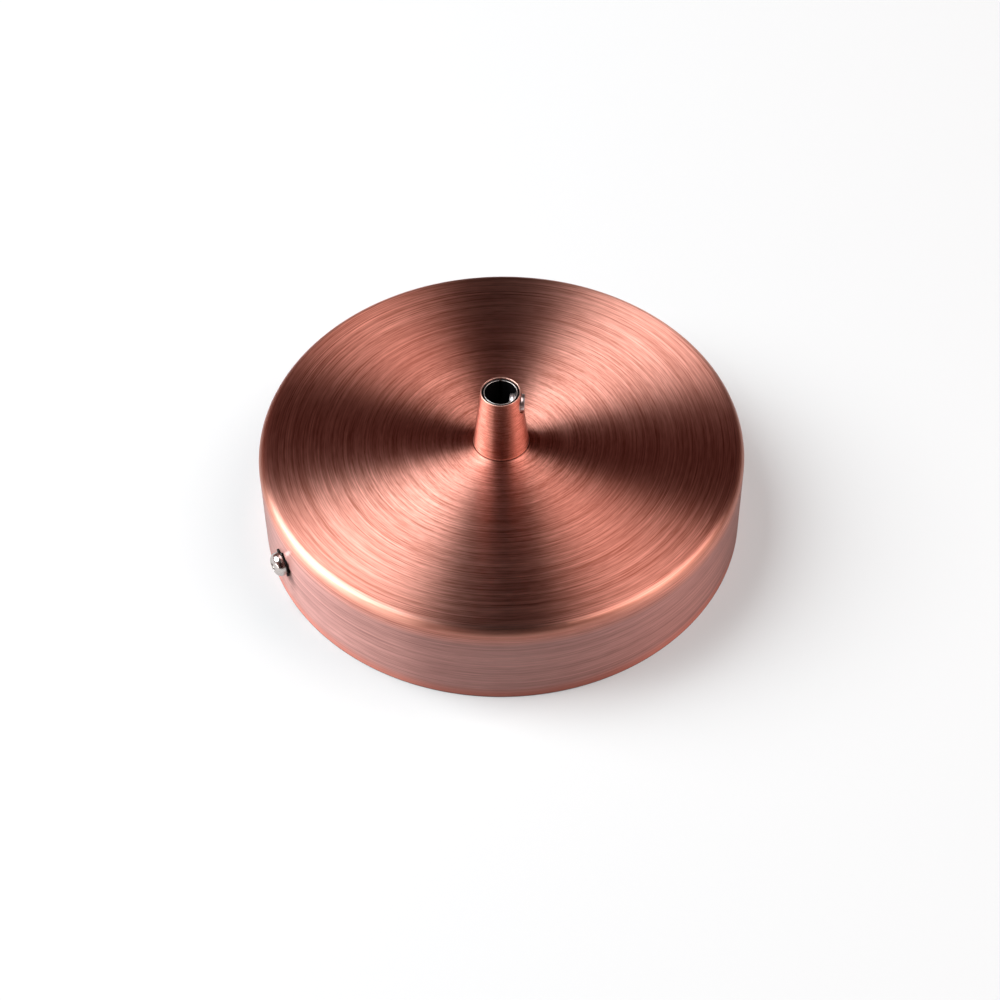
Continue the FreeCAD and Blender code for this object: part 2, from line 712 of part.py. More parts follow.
def pole_place(pole):
    """How far a pole's middle lies from the origin."""
    return f"block_start + ({pole} - 1 / 2) * pole_pitch"


def make_tube(pole):
    """One pole's brass tube: round below, a flat crown above with two tapped holes."""
    body = new_body(f"terminal_tube_{pole}")
    lower = sketch_on(body, "RoundSide", "XZ_Plane")
    add_circle(lower, "0", "way_height", "tube_width / 2")
    pad(body, lower, "RoundPad", "tube_length", both_ways=True)
    crown = sketch_on(body, "Crown", "XZ_Plane")
    add_rectangle(crown, "-tube_width / 2", "way_height", "tube_width / 2", TUBE_TOP)
    pad(body, crown, "CrownPad", "tube_length", both_ways=True)
    way = sketch_on(body, "WireWay", "XZ_Plane")
    add_circle(way, "0", "way_height", "way_diameter / 2")
    cut_through(body, way, "WireWayCut")
    holes = sketch_on(body, "TappedHoles", "XY_Plane", TUBE_TOP)
    for side in ("", "-"):
        add_circle(holes, "0", f"{side}chimney_spacing / 2",
                   "terminal_screw_diameter / 2 + thread_clearance")
    pocket(body, holes, "TappedHoleCut", "tube_crown")
    return place(body, across=pole_place(pole), up=STRAP_TOP)


def make_upright_screw(label, diameter, length, head_diameter, head_height, bevel="point_bevel"):
    """A screw that stands upright, its head's seat at zero, with a driver slot and a bevelled point."""
    body = new_body(label)
    section = sketch_on(body, "ScrewSection", "XZ_Plane")
    add_polygon(section, [
        ("0", f"-{length}"),
        (f"{diameter} / 2 - {bevel}", f"-{length}"),
        (f"{diameter} / 2", f"{bevel} - {length}"),
        (f"{diameter} / 2", "0"),
        (f"{head_diameter} / 2", "0"),
        (f"{head_diameter} / 2", head_height),
        ("0", head_height),
    ])
    turn(body, section, "Screw")
    slot = sketch_on(body, "DriverSlot", "XY_Plane", head_height)
    add_rectangle(slot, f"-{head_diameter}", "-driver_slot_width / 2",
                  head_diameter, "driver_slot_width / 2")
    pocket(body, slot, "DriverSlotCut", "driver_slot_depth")
    return body


def make_terminal_screw(number, pole, side):
    """A clamp screw of the terminal block, backed off until its tip clears the wire way."""
    body = make_upright_screw(f"terminal_screw_{number}", "terminal_screw_diameter",
                              "terminal_screw_reach", "terminal_head_diameter",
                              "terminal_head_height", "terminal_point_bevel")
    seat = f"{STRAP_TOP} + way_height + way_diameter / 2 + terminal_screw_open + terminal_screw_reach"
    return place(body, across=pole_place(pole), along=f"{side}chimney_spacing / 2", up=seat)


def make_fixing_screw(number):
    """A screw through a boss of the terminal block into the strap."""
    body = make_upright_screw(f"terminal_fixing_screw_{number}", "fixing_screw_diameter",
                              "fixing_screw_length", "fixing_head_diameter", "fixing_head_height")
    return place(body, across=f"block_start + {number} * pole_pitch", up=f"{STRAP_TOP} + {BOSS_TOP}")


# Earth terminal


def make_earth_screw():
    """The earth screw in the strap's upstanding collar."""
    body = make_upright_screw("earth_screw", "earth_screw_diameter", "earth_screw_length",
                              "earth_head_diameter", "earth_head_height")
    return place(body, across="-earth_place", up=EARTH_HEAD_SEAT)


def make_earth_washer():
    """The flat washer that presses the earth wire under the screw's head."""
    body = new_body("earth_washer")
    ring = sketch_on(body, "Ring", "XY_Plane")
    add_circle(ring, "0", "0", "earth_washer_diameter / 2")
    add_circle(ring, "0", "0", "earth_screw_diameter / 2 + thread_clearance")
    pad(body, ring, "RingPad", "earth_washer_thickness")
    return place(body, across="-earth_place", up=f"{EARTH_HEAD_SEAT} - earth_washer_thickness")


# All sub-parts

HALF_TURN = "180"
parts = [make_cover(), make_grip_body(), make_grip_liner(), make_grip_screw()]
stem_washer_seat = "cover_height - cover_wall - stem_washer_thickness"
parts.append(place(make_toothed_washer("grip_lock_washer", "XY_Plane", stem_washer_seat, "stem")))
parts.append(make_grip_nut())
parts.append(make_bracket())
for hand, facing in (("right", "0"), ("left", HALF_TURN)):
    parts.append(make_side_screw(f"side_screw_{hand}", facing))
    washer = make_toothed_washer(f"side_washer_{hand}", "YZ_Plane", f"{COVER_RADIUS} + seat_gap", "side")
    parts.append(place(washer, up="side_screw_height", turned=facing))
parts.append(make_terminal_block())
for pole in range(1, POLE_COUNT + 1):
    parts.append(make_tube(pole))
    for side in ("", "-"):
        number = 2 * pole - (side == "")
        parts.append(make_terminal_screw(number, pole, side))
for number in range(1, POLE_COUNT):
    parts.append(make_fixing_screw(number))
parts.append(make_earth_screw())
parts.append(make_earth_washer())

document.recompute()
for item in document.Objects:
    if "Invalid" in item.State or "Error" in item.State:
        raise RuntimeError(f"{item.Label} of {item.Name} could not be worked out: {item.State}")
for item in parts:
    if item.Shape.isNull() or not item.Shape.isValid():
        raise RuntimeError(f"{item.Label} has no valid shape")
    if len(item.Shape.Solids) != 1:
        raise RuntimeError(f"{item.Label} has {len(item.Shape.Solids)} solids instead of one")

os.makedirs("parts", exist_ok=True)
for item in parts:
    item.Shape.exportStep(f"parts/{item.Label}.step")
    print(item.Label, round(item.Shape.Volume, 1), "cubic millimetres")
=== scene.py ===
import math

import bmesh
import bpy
from mathutils import Matrix, Quaternion, Vector


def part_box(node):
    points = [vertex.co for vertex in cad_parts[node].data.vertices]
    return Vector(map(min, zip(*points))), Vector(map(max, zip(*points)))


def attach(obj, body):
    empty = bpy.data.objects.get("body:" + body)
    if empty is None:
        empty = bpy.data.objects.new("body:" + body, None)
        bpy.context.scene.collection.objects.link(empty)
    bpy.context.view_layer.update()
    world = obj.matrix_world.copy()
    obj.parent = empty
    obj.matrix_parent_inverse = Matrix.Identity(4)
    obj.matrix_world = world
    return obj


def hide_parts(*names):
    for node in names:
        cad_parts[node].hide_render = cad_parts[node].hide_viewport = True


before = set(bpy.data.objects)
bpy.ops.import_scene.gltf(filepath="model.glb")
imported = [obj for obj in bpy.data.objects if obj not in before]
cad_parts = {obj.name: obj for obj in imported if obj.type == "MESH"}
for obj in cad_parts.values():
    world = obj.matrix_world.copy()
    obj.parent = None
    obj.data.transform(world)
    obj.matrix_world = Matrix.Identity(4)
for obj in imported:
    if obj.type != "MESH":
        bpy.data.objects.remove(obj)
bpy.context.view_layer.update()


# The cover is a shallow round cup of thin steel, spun to shape and plated in copper.
# Its face and side are turned with an abrasive and darkened in the hollows, which leaves fine rings; the
# side's darker, greyer tone is painted shade.
# It slides over the bracket, and two screws through its side hold it there.
MM = 0.001
DOUBLE_GAP = 0.001 * MM
TURN_STEPS = 480
COVER_WALL = 1.0 * MM
COVER_CORNER = 2.5 * MM
RIM_BREAK = 0.15 * MM
STEM_HOLE = 5.15 * MM
SIDE_HOLE = 1.8 * MM
SIDE_HOLE_HEIGHT = 12.5 * MM


def arc(centre, radius, start, end, steps):
    """Points on a round stretch of an outline, between two angles in degrees."""
    angles = [math.radians(start + (end - start) * step / steps) for step in range(steps + 1)]
    return [(centre[0] + radius * math.cos(a), centre[1] + radius * math.sin(a)) for a in angles]


def new_piece(name, mesh):
    """Puts a mesh in the scene as an object of its own."""
    piece = bpy.data.objects.new(name, mesh)
    bpy.context.scene.collection.objects.link(piece)
    return piece


def tidy_mesh(mesh, sharp=35, outwards=True):
    """Merges doubles, points the faces outwards and keeps only real edges sharp."""
    work = bmesh.new()
    work.from_mesh(mesh)
    bmesh.ops.remove_doubles(work, verts=work.verts, dist=DOUBLE_GAP)
    bmesh.ops.dissolve_degenerate(work, edges=work.edges, dist=DOUBLE_GAP / 2)
    if outwards:
        bmesh.ops.recalc_face_normals(work, faces=work.faces)
    work.to_mesh(mesh)
    work.free()
    mesh.shade_smooth()
    mesh.set_sharp_from_angle(angle=math.radians(sharp))


def turned(name, *stretches, steps=TURN_STEPS):
    """Turns an outline about the upright axis; a stretch is its material's number and its points."""
    outline = [point for _, stretch in stretches for point in stretch]
    finishes = [finish for finish, stretch in stretches for _ in stretch]
    count = len(outline)
    points = []
    for step in range(steps):
        angle = math.tau * step / steps
        points += [(r * math.cos(angle), r * math.sin(angle), z) for r, z in outline]
    faces = []
    for step in range(steps):
        here, there = step * count, (step + 1) % steps * count
        for low in range(count):
            high = (low + 1) % count
            faces.append((here + low, there + low, there + high, here + high))
    mesh = bpy.data.meshes.new(name)
    mesh.from_pydata(points, [], faces)
    for face in mesh.polygons:
        face.material_index = finishes[face.index % count]
    tidy_mesh(mesh)
    return new_piece(name, mesh)


def rod(radius, start, end, sides=48):
    """A plain round bar between two points, used to cut holes."""
    along = Vector(end) - Vector(start)
    work = bmesh.new()
    bmesh.ops.create_cone(
        work, cap_ends=True, segments=sides, radius1=radius, radius2=radius, depth=along.length)
    middle = (Vector(start) + Vector(end)) / 2
    bmesh.ops.transform(
        work, matrix=Matrix.Translation(middle) @ along.to_track_quat("Z", "Y").to_matrix().to_4x4(),
        verts=work.verts)
    mesh = bpy.data.meshes.new("cutter")
    work.to_mesh(mesh)
    work.free()
    return new_piece("cutter", mesh)


def settle(piece):
    """Keeps what the live modifiers make as the piece's own plain mesh."""
    bpy.context.view_layer.update()
    shown = piece.evaluated_get(bpy.context.evaluated_depsgraph_get())
    made = bpy.data.meshes.new_from_object(shown)
    piece.modifiers.clear()
    piece.data = made
    return piece


def cut(piece, *cutters):
    """Takes each cutter's shape out of the piece."""
    for cutter in cutters:
        step = piece.modifiers.new("Cut", "BOOLEAN")
        step.operation = "DIFFERENCE"
        step.solver = "EXACT"
        step.object = cutter
    settle(piece)
    for cutter in cutters:
        bpy.data.objects.remove(cutter)


def put(tree, kind, inputs=None, **settings):
    """Adds a node and gives each named input a value or the output that feeds it."""
    node = tree.nodes.new(kind)
    for name, value in settings.items():
        setattr(node, name, value)
    for name, value in (inputs or {}).items():
        if isinstance(value, bpy.types.NodeSocket):
            tree.links.new(value, node.inputs[name])
        else:
            node.inputs[name].default_value = value
    return node


def maths(tree, operation, *values, clamp=False):
    """One step of arithmetic on numbers or outputs."""
    node = put(tree, "ShaderNodeMath", dict(enumerate(values)), operation=operation, use_clamp=clamp)
    return node.outputs[0]


def ramp(tree, mask, low, high, to_low=0.0, to_high=1.0):
    """Stretches a mask from one range to another and holds it at the ends."""
    node = put(tree, "ShaderNodeMapRange", {
        "Value": mask, "From Min": low, "From Max": high, "To Min": to_low, "To Max": to_high})
    return node.outputs["Result"]


def blend(tree, mask, first, second):
    """Mixes two colours by a mask."""
    node = put(tree, "ShaderNodeMix", data_type="RGBA")
    for socket, value in zip((node.inputs[0], node.inputs[6], node.inputs[7]), (mask, first, second)):
        if isinstance(value, bpy.types.NodeSocket):
            tree.links.new(value, socket)
        else:
            socket.default_value = value
    return node.outputs[2]


def new_group(name, inputs, outputs):
    """A shader group with named inputs and outputs."""
    tree = bpy.data.node_groups.new(name, "ShaderNodeTree")
    for label, value in inputs.items():
        socket = tree.interface.new_socket(label, in_out="INPUT", socket_type="NodeSocketFloat")
        socket.default_value = value
    for label in outputs:
        tree.interface.new_socket(label, in_out="OUTPUT", socket_type="NodeSocketFloat")
    return tree, tree.nodes.new("NodeGroupInput").outputs, tree.nodes.new("NodeGroupOutput")


def paint(red, green, blue):
    """A colour as the eye sees it on a screen, from 0 to 255, as the light that it returns."""
    parts = [value / 255 for value in (red, green, blue)]
    return [p / 12.92 if p <= 0.04045 else ((p + 0.055) / 1.055) ** 2.4 for p in parts] + [1.0]


def new_material(name, **fixed):
    """A material with one Principled shader, whose even values are set on its own sockets."""
    material = bpy.data.materials.new(name)
    material.use_nodes = True
    shader = material.node_tree.nodes["Principled BSDF"]
    for label, value in fixed.items():
        shader.inputs[label.replace("_", " ").title().replace("Ior", "IOR")].default_value = value
    return material, material.node_tree, shader


def turned_lines_group():
    """Lines that run round the upright axis, across a face and down a side alike."""
    tree, given, result = new_group(
        "Turned lines", {"Pitch": 0.4 * MM, "Arcs": 3.0},
        ("Fine", "Short", "Coarse", "Cloud", "Radius"))
    place = put(tree, "ShaderNodeTexCoord").outputs["Object"]
    parts = put(tree, "ShaderNodeSeparateXYZ", {0: place}).outputs
    flat = put(tree, "ShaderNodeCombineXYZ", {"X": parts["X"], "Y": parts["Y"]}).outputs[0]
    radius = put(tree, "ShaderNodeVectorMath", {0: flat}, operation="LENGTH").outputs["Value"]
    heading = put(tree, "ShaderNodeVectorMath", {0: flat}, operation="NORMALIZE").outputs["Vector"]
    across = maths(tree, "SUBTRACT", radius, parts["Z"])
    tree.links.new(radius, result.inputs["Radius"])
    for label, pitch, arcs, detail, rough in (
            ("Fine", 1.0, 1.0, 2.0, 0.6), ("Short", 0.8, 8.0, 1.0, 0.5), ("Coarse", 8.0, 0.6, 2.0, 0.5),
            ("Cloud", 60.0, 0.5, 2.0, 0.5)):
        spread = maths(tree, "MULTIPLY", given["Arcs"], arcs)
        turned_way = put(tree, "ShaderNodeVectorMath", {0: heading, "Scale": spread}, operation="SCALE")
        line = maths(tree, "DIVIDE", across, maths(tree, "MULTIPLY", given["Pitch"], pitch))
        lift = put(tree, "ShaderNodeCombineXYZ", {"Z": line}).outputs[0]
        where = put(tree, "ShaderNodeVectorMath", {0: turned_way.outputs[0], 1: lift}).outputs[0]
        noise = put(tree, "ShaderNodeTexNoise", {
            "Vector": where, "Scale": 1.0, "Detail": detail, "Roughness": rough})
        tree.links.new(noise.outputs["Fac"], result.inputs[label])
    return tree


turned_lines = turned_lines_group()


STREAK_SHARES = {"Fine": 0.7, "Coarse": 0.05, "Short": 0.25}
CLOUD_TONE = paint(204, 123, 105)
LACQUER_ROUGHNESS = 0.22


def turned_copper(name, pitch, arcs, tones, gloss, lacquer, paint_side_shade=False):
    """Copper plate, rubbed in rings, darkened in the hollows of the lines, and lacquered."""
    material, tree, shader = new_material(
        name, metallic=1.0, anisotropic=0.97, anisotropic_rotation=0.25, coat_weight=lacquer,
        coat_roughness=LACQUER_ROUGHNESS)
    lines = put(tree, "ShaderNodeGroup", {"Pitch": pitch, "Arcs": arcs}, node_tree=turned_lines).outputs
    streak = 0.0
    for label, share in STREAK_SHARES.items():
        streak = maths(tree, "ADD", maths(tree, "MULTIPLY", lines[label], share), streak)
    contrast = ramp(tree, streak, 0.34, 0.66)
    base = blend(tree, contrast, *tones)
    base = blend(tree, ramp(tree, lines["Cloud"], 0.35, 0.7, 0.0, 0.4), base, CLOUD_TONE)
    rubbed = ramp(tree, streak, 0.3, 0.7, *gloss)
    if paint_side_shade:
        base, rubbed, film = cover_painted_light(tree, base, rubbed, contrast, lines["Radius"], lacquer)
        tree.links.new(film, shader.inputs["Coat Weight"])
    tree.links.new(base, shader.inputs["Base Color"])
    tree.links.new(rubbed, shader.inputs["Roughness"])
    tree.links.new(put(tree, "ShaderNodeTangent", direction_type="RADIAL", axis="Z").outputs[0],
                   shader.inputs["Tangent"])
    bump = put(tree, "ShaderNodeBump", {"Height": lines["Fine"], "Strength": 0.5, "Distance": 0.004 * MM})
    tree.links.new(bump.outputs[0], shader.inputs["Normal"])
    return material


# Painted shade: below this height the cover's side takes darker, greyer tones than its face, standing in
# for the shade and dim reflections on the side.
SIDE_SHADE_TOP = 19.5 * MM
SIDE_SHADE_TONES = (paint(166, 118, 112), paint(214, 161, 152))
# Painted reflection: a redder band low on the side stands in for the table's contact shadow seen in the
# metal.
RIM_SHADE_REFLECTION = (3.5 * MM, 0.8 * MM)
RIM_SHADE_REFLECTION_TONE = paint(226, 136, 116)
# Painted contact shadow: a thin dark line at the very foot of the side.
RIM_CONTACT_SHADOW = (0.4 * MM, 0.15 * MM)
RIM_CONTACT_SHADOW_TONE = paint(84, 44, 36)
# Just below the face's edge: a lighter tone painted as the corner's highlight, and a lower roughness for
# its polish.
CORNER_POLISH_AND_HIGHLIGHT_BAND = (0.4 * MM, 1.2 * MM)
CORNER_PAINTED_HIGHLIGHT_TONE = paint(252, 182, 158)
# Painted shadow: a dark ring on the face just round the grip's foot stands in for the grip's contact
# shadow.
GRIP_SHADOW_EDGE = 7.3 * MM
GRIP_SHADOW_FADE = 0.3 * MM
GRIP_SHADOW_TONE = paint(60, 22, 16)


def cover_painted_light(tree, base, rubbed, contrast, radius, lacquer):
    """The cover's painted light: painted shade on its side, a painted highlight on its polished corner, a
    painted reflected shadow and contact shadow low on its rim, and a painted shadow round the grip.
    """
    place = put(tree, "ShaderNodeTexCoord").outputs["Object"]
    height = put(tree, "ShaderNodeSeparateXYZ", {0: place}).outputs["Z"]
    # Painted shade: the side's darker, greyer streak tones.
    shaded_side = blend(tree, contrast, *SIDE_SHADE_TONES)
    # Painted reflection of the contact shadow: redder low on the side.
    shaded_side = blend(tree, ramp(tree, height, *RIM_SHADE_REFLECTION, 0.0, 0.6), shaded_side, RIM_SHADE_REFLECTION_TONE)
    # Painted contact shadow at the foot.
    shaded_side = blend(tree, ramp(tree, height, *RIM_CONTACT_SHADOW, 0.0, 0.8), shaded_side, RIM_CONTACT_SHADOW_TONE)
    base = blend(tree, ramp(tree, height, SIDE_SHADE_TOP, corner_middle[1]), shaded_side, base)
    # Painted highlight on the corner, with lower roughness there for its polish.
    upper, lower = (cover_height - drop for drop in CORNER_POLISH_AND_HIGHLIGHT_BAND)
    below_face = ramp(tree, height, cover_height - 0.05 * MM, upper)
    polish_and_highlight = maths(tree, "MULTIPLY", below_face, ramp(tree, height, corner_middle[1], lower))
    base = blend(tree, maths(tree, "MULTIPLY", polish_and_highlight, 0.5), base, CORNER_PAINTED_HIGHLIGHT_TONE)
    rubbed = maths(tree, "SUBTRACT", rubbed, maths(tree, "MULTIPLY", polish_and_highlight, 0.06))
    film = ramp(tree, height, 0.5 * MM, 3.0 * MM, 0.2 * lacquer, lacquer)
    # Painted shadow of the grip: a dark ring round its foot.
    grip_shadow = ramp(tree, radius, GRIP_SHADOW_EDGE, GRIP_SHADOW_EDGE - GRIP_SHADOW_FADE, 0.0, 0.85)
    return blend(tree, grip_shadow, base, GRIP_SHADOW_TONE), rubbed, film


def plain_copper():
    """The inside of the cup: the same thin plate on drawn steel, which nobody rubs down."""
    material, tree, shader = new_material("Inside copper", metallic=1.0)
    lines = put(tree, "ShaderNodeGroup", {"Pitch": 0.8 * MM, "Arcs": 4.0}, node_tree=turned_lines).outputs
    base = blend(tree, ramp(tree, lines["Cloud"], 0.35, 0.65), paint(172, 104, 84), paint(196, 126, 104))
    tree.links.new(base, shader.inputs["Base Color"])
    tree.links.new(ramp(tree, lines["Coarse"], 0.3, 0.7, 0.34, 0.5), shader.inputs["Roughness"])
    bump = put(tree, "ShaderNodeBump", {"Height": lines["Coarse"], "Strength": 0.4, "Distance": 0.01 * MM})
    tree.links.new(bump.outputs[0], shader.inputs["Normal"])
    return material


cover_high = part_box("cover")[1]
cover_radius, cover_height = cover_high.x, cover_high.z
corner_middle = (cover_radius - COVER_CORNER, cover_height - COVER_CORNER)
outer_outline = [
    (STEM_HOLE, cover_height - RIM_BREAK), (STEM_HOLE + RIM_BREAK, cover_height),
    (STEM_HOLE + 4 * RIM_BREAK, cover_height), (corner_middle[0] / 2, cover_height),
    (corner_middle[0] - 2 * RIM_BREAK, cover_height)]
outer_outline += arc(corner_middle, COVER_CORNER, 90, 0, 16)
outer_outline += [
    (cover_radius, corner_middle[1] - 2 * RIM_BREAK), (cover_radius, cover_height / 2),
    (cover_radius, 3 * RIM_BREAK), (cover_radius, RIM_BREAK), (cover_radius - RIM_BREAK, 0)]
inner_outline = [
    (cover_radius - COVER_WALL + RIM_BREAK, 0), (cover_radius - COVER_WALL, RIM_BREAK),
    (cover_radius - COVER_WALL, cover_height / 2)]
inner_outline += arc(corner_middle, COVER_CORNER - COVER_WALL, 0, 90, 10)
inner_outline += [(STEM_HOLE, cover_height - COVER_WALL)]
cover = turned("cover_shell", (0, outer_outline), (1, inner_outline))
cover.data.materials.append(turned_copper(
    "Cover copper", pitch=0.38 * MM, arcs=1.6, tones=(paint(180, 106, 88), paint(248, 179, 161)),
    gloss=(0.39, 0.47), lacquer=0.4, paint_side_shade=True))
cover.data.materials.append(plain_copper())
hole_ends = [
    (Vector((side * (cover_radius - 3 * COVER_WALL), 0, SIDE_HOLE_HEIGHT)),
     Vector((side * (cover_radius + COVER_WALL), 0, SIDE_HOLE_HEIGHT))) for side in (-1, 1)]
cut(cover, *[rod(SIDE_HOLE, *ends) for ends in hole_ends])
tidy_mesh(cover.data, outwards=False)
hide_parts("cover")
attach(cover, "root")


# The cord grip's body is turned from copper-plated brass: a plain cone above the cover
# and a threaded stem below it. The stem goes down through the hole in the cover's middle.
STEM_RADIUS = 5.0 * MM
STEM_CORE = 4.45 * MM
STEM_PITCH = 1.0 * MM
STEM_THREAD_DEPTH = 0.54 * MM
STEM_BORE = 3.8 * MM
LINER_SEAT = 28.0 * MM
LINER_BORE = 4.6 * MM
CONE_FOOT = 6.95 * MM
CONE_MOUTH = 4.9 * MM
CONE_EDGE = 0.3 * MM
FOOT_EDGE = 0.14 * MM
FOOT_GROOVE = 0.1 * MM
FOOT_BAND = 0.28 * MM
GRIP_SCREW_BEARING = math.radians(-33)
GRIP_SCREW_HEIGHT = 38.9 * MM
GRIP_SCREW_HOLE = 2.55 * MM


def geometry_tree(name, **sockets):
    """A geometry tree with named inputs and one shape as its result."""
    tree = bpy.data.node_groups.new(name, "GeometryNodeTree")
    for label, kind in sockets.items():
        tree.interface.new_socket(
            label.replace("_", " "), in_out="INPUT", socket_type=f"NodeSocket{kind}")
    tree.interface.new_socket("Shape", in_out="OUTPUT", socket_type="NodeSocketGeometry")
    return tree, tree.nodes.new("NodeGroupInput").outputs, tree.nodes.new("NodeGroupOutput")


def close_tree(tree, shape, given, result):
    """Ends a geometry tree: copies made real, then their material."""
    real = put(tree, "GeometryNodeRealizeInstances", {"Geometry": shape}).outputs[0]
    smooth = put(tree, "GeometryNodeSetShadeSmooth", {"Geometry": real}).outputs[0]
    painted = put(tree, "GeometryNodeSetMaterial", {"Geometry": smooth, "Material": given["Material"]})
    tree.links.new(painted.outputs[0], result.inputs[0])
    return tree


def screw_thread_tree():
    """A ridge that climbs a bar: a grid rolled round the axis, closed at both ends."""
    tree, given, result = geometry_tree(
        "Screw thread", Radius="Float", Core="Float", Pitch="Float", Depth="Float", Length="Float",
        Plain="Float", Point="Float", Rows="Int", Columns="Int", Material="Material")
    grid = put(tree, "GeometryNodeMeshGrid", {
        "Size X": 1.0, "Size Y": 1.0, "Vertices X": given["Rows"], "Vertices Y": given["Columns"]})
    spot = put(tree, "ShaderNodeSeparateXYZ", {0: put(tree, "GeometryNodeInputPosition").outputs[0]})
    around = maths(tree, "ADD", spot.outputs["Y"], 0.5)
    last = maths(tree, "SUBTRACT", given["Rows"], 1.0)
    row = maths(tree, "MULTIPLY", maths(tree, "ADD", spot.outputs["X"], 0.5), last)
    climb = maths(tree, "DIVIDE", maths(tree, "SUBTRACT", row, 2.0), maths(tree, "SUBTRACT", last, 4.0),
                  clamp=True)
    height = maths(tree, "MULTIPLY", climb, given["Length"])
    turns = maths(tree, "DIVIDE", height, given["Pitch"])
    phase = maths(tree, "FRACT", maths(tree, "SUBTRACT", turns, around))
    wave = maths(tree, "ABSOLUTE", maths(tree, "SUBTRACT", maths(tree, "MULTIPLY", phase, 2.0), 1.0))
    hollow = ramp(tree, wave, 0.12, 0.85)
    from_end = maths(tree, "MINIMUM", height, maths(tree, "SUBTRACT", given["Length"], height))
    past_plain = maths(tree, "SUBTRACT", from_end, given["Plain"])
    lead = maths(tree, "SUBTRACT", 1.0, maths(tree, "DIVIDE", past_plain, given["Pitch"]), clamp=True)
    cut_in = maths(tree, "MULTIPLY", maths(tree, "MAXIMUM", hollow, lead), given["Depth"])
    to_point = maths(tree, "MAXIMUM", maths(tree, "SUBTRACT", given["Point"], height), 0.0)
    outer = maths(tree, "SUBTRACT", given["Radius"], maths(tree, "MAXIMUM", cut_in, to_point))
    rows_in = maths(tree, "MINIMUM", row, maths(tree, "SUBTRACT", last, row))
    on_core = maths(tree, "LESS_THAN", rows_in, 1.5)
    at_join = maths(tree, "MULTIPLY", maths(tree, "LESS_THAN", rows_in, 0.5),
                    maths(tree, "GREATER_THAN", given["Core"], DOUBLE_GAP))
    radius = put(tree, "ShaderNodeMix", {"Factor": on_core, "A": outer, "B": given["Core"]}).outputs[0]
    level = put(tree, "ShaderNodeMix", {
        "Factor": at_join, "A": height, "B": maths(tree, "DIVIDE", given["Length"], 2.0)}).outputs[0]
    angle = maths(tree, "MULTIPLY", around, math.tau)
    place = put(tree, "ShaderNodeCombineXYZ", {
        "X": maths(tree, "MULTIPLY", radius, maths(tree, "COSINE", angle)),
        "Y": maths(tree, "MULTIPLY", radius, maths(tree, "SINE", angle)), "Z": level})
    rolled = put(tree, "GeometryNodeSetPosition", {
        "Geometry": grid.outputs["Mesh"], "Position": place.outputs[0]}).outputs[0]
    merged = put(tree, "GeometryNodeMergeByDistance", {"Geometry": rolled, "Distance": DOUBLE_GAP})
    return close_tree(tree, merged.outputs[0], given, result)


screw_thread = screw_thread_tree()


def grow(tree, **sizes):
    """Runs a geometry tree with its inputs set and hands back its plain mesh."""
    holder = new_piece("holder", bpy.data.meshes.new("holder"))
    maker = holder.modifiers.new("Maker", "NODES")
    maker.node_group = tree
    for socket in tree.interface.items_tree:
        label = socket.name.replace(" ", "_")
        if socket.in_out == "INPUT" and label in sizes:
            maker[socket.identifier] = sizes[label]
    settle(holder)
    mesh = holder.data
    bpy.data.objects.remove(holder)
    tidy_mesh(mesh)
    return mesh


def thread(radius, pitch, depth, length, material, core=0.0, plain=0.0, point=0.0, columns=49,
           rows_in_turn=10):
    """A screw thread along +Z from the origin, with its tapered point, if any, at the origin."""
    rows = round(length / pitch * rows_in_turn) + 5
    return grow(screw_thread, Radius=radius, Core=core, Pitch=pitch, Depth=depth, Length=length,
                Plain=plain, Point=point, Rows=rows, Columns=columns, Material=material)


def join(name, *meshes):
    """One piece out of several meshes that keep their materials."""
    whole, materials = bmesh.new(), []
    for mesh in meshes:
        start = len(whole.faces)
        whole.from_mesh(mesh)
        whole.faces.ensure_lookup_table()
        shift = []
        for material in mesh.materials:
            if material not in materials:
                materials.append(material)
            shift.append(materials.index(material))
        for face in whole.faces[start:]:
            face.material_index = shift[face.material_index]
    made = bpy.data.meshes.new(name)
    whole.to_mesh(made)
    whole.free()
    for material in materials:
        made.materials.append(material)
    return new_piece(name, made)


def taken(piece):
    """The mesh of a piece that is only a step towards another, with the step removed."""
    mesh = piece.data
    bpy.data.objects.remove(piece)
    return mesh


def cone_radius(height):
    """The cone's radius at a height above the cup's rim."""
    share = (height - cover_height) / (grip_high.z - cover_height)
    return CONE_FOOT + (CONE_MOUTH - CONE_FOOT) * share


def grain_group():
    """Fine uneven grain, long scuffs one way and small specks, as on any handled surface."""
    tree, given, result = new_group(
        "Fine grain", {"Size": 0.2 * MM, "Run": 12.0}, ("Grain", "Scuffs", "Specks"))
    place = put(tree, "ShaderNodeTexCoord").outputs["Object"]
    scaled = put(tree, "ShaderNodeVectorMath", {
        0: place, "Scale": maths(tree, "DIVIDE", 1.0, given["Size"])}, operation="SCALE").outputs[0]
    grain = put(tree, "ShaderNodeTexNoise", {"Vector": scaled, "Scale": 1.0, "Detail": 3.0})
    parts = put(tree, "ShaderNodeSeparateXYZ", {0: scaled}).outputs
    drawn = put(tree, "ShaderNodeCombineXYZ", {
        "X": maths(tree, "DIVIDE", parts["X"], given["Run"]), "Y": parts["Y"], "Z": parts["Z"]})
    scuffs = put(tree, "ShaderNodeTexNoise", {"Vector": drawn.outputs[0], "Scale": 0.7, "Detail": 2.0})
    specks = put(tree, "ShaderNodeTexVoronoi", {"Vector": scaled, "Scale": 0.35})
    tree.links.new(grain.outputs["Fac"], result.inputs["Grain"])
    tree.links.new(ramp(tree, scuffs.outputs["Fac"], 0.45, 0.75), result.inputs["Scuffs"])
    tree.links.new(ramp(tree, specks.outputs["Distance"], 0.0, 0.25, 1.0, 0.0), result.inputs["Specks"])
    return tree


fine_grain = grain_group()


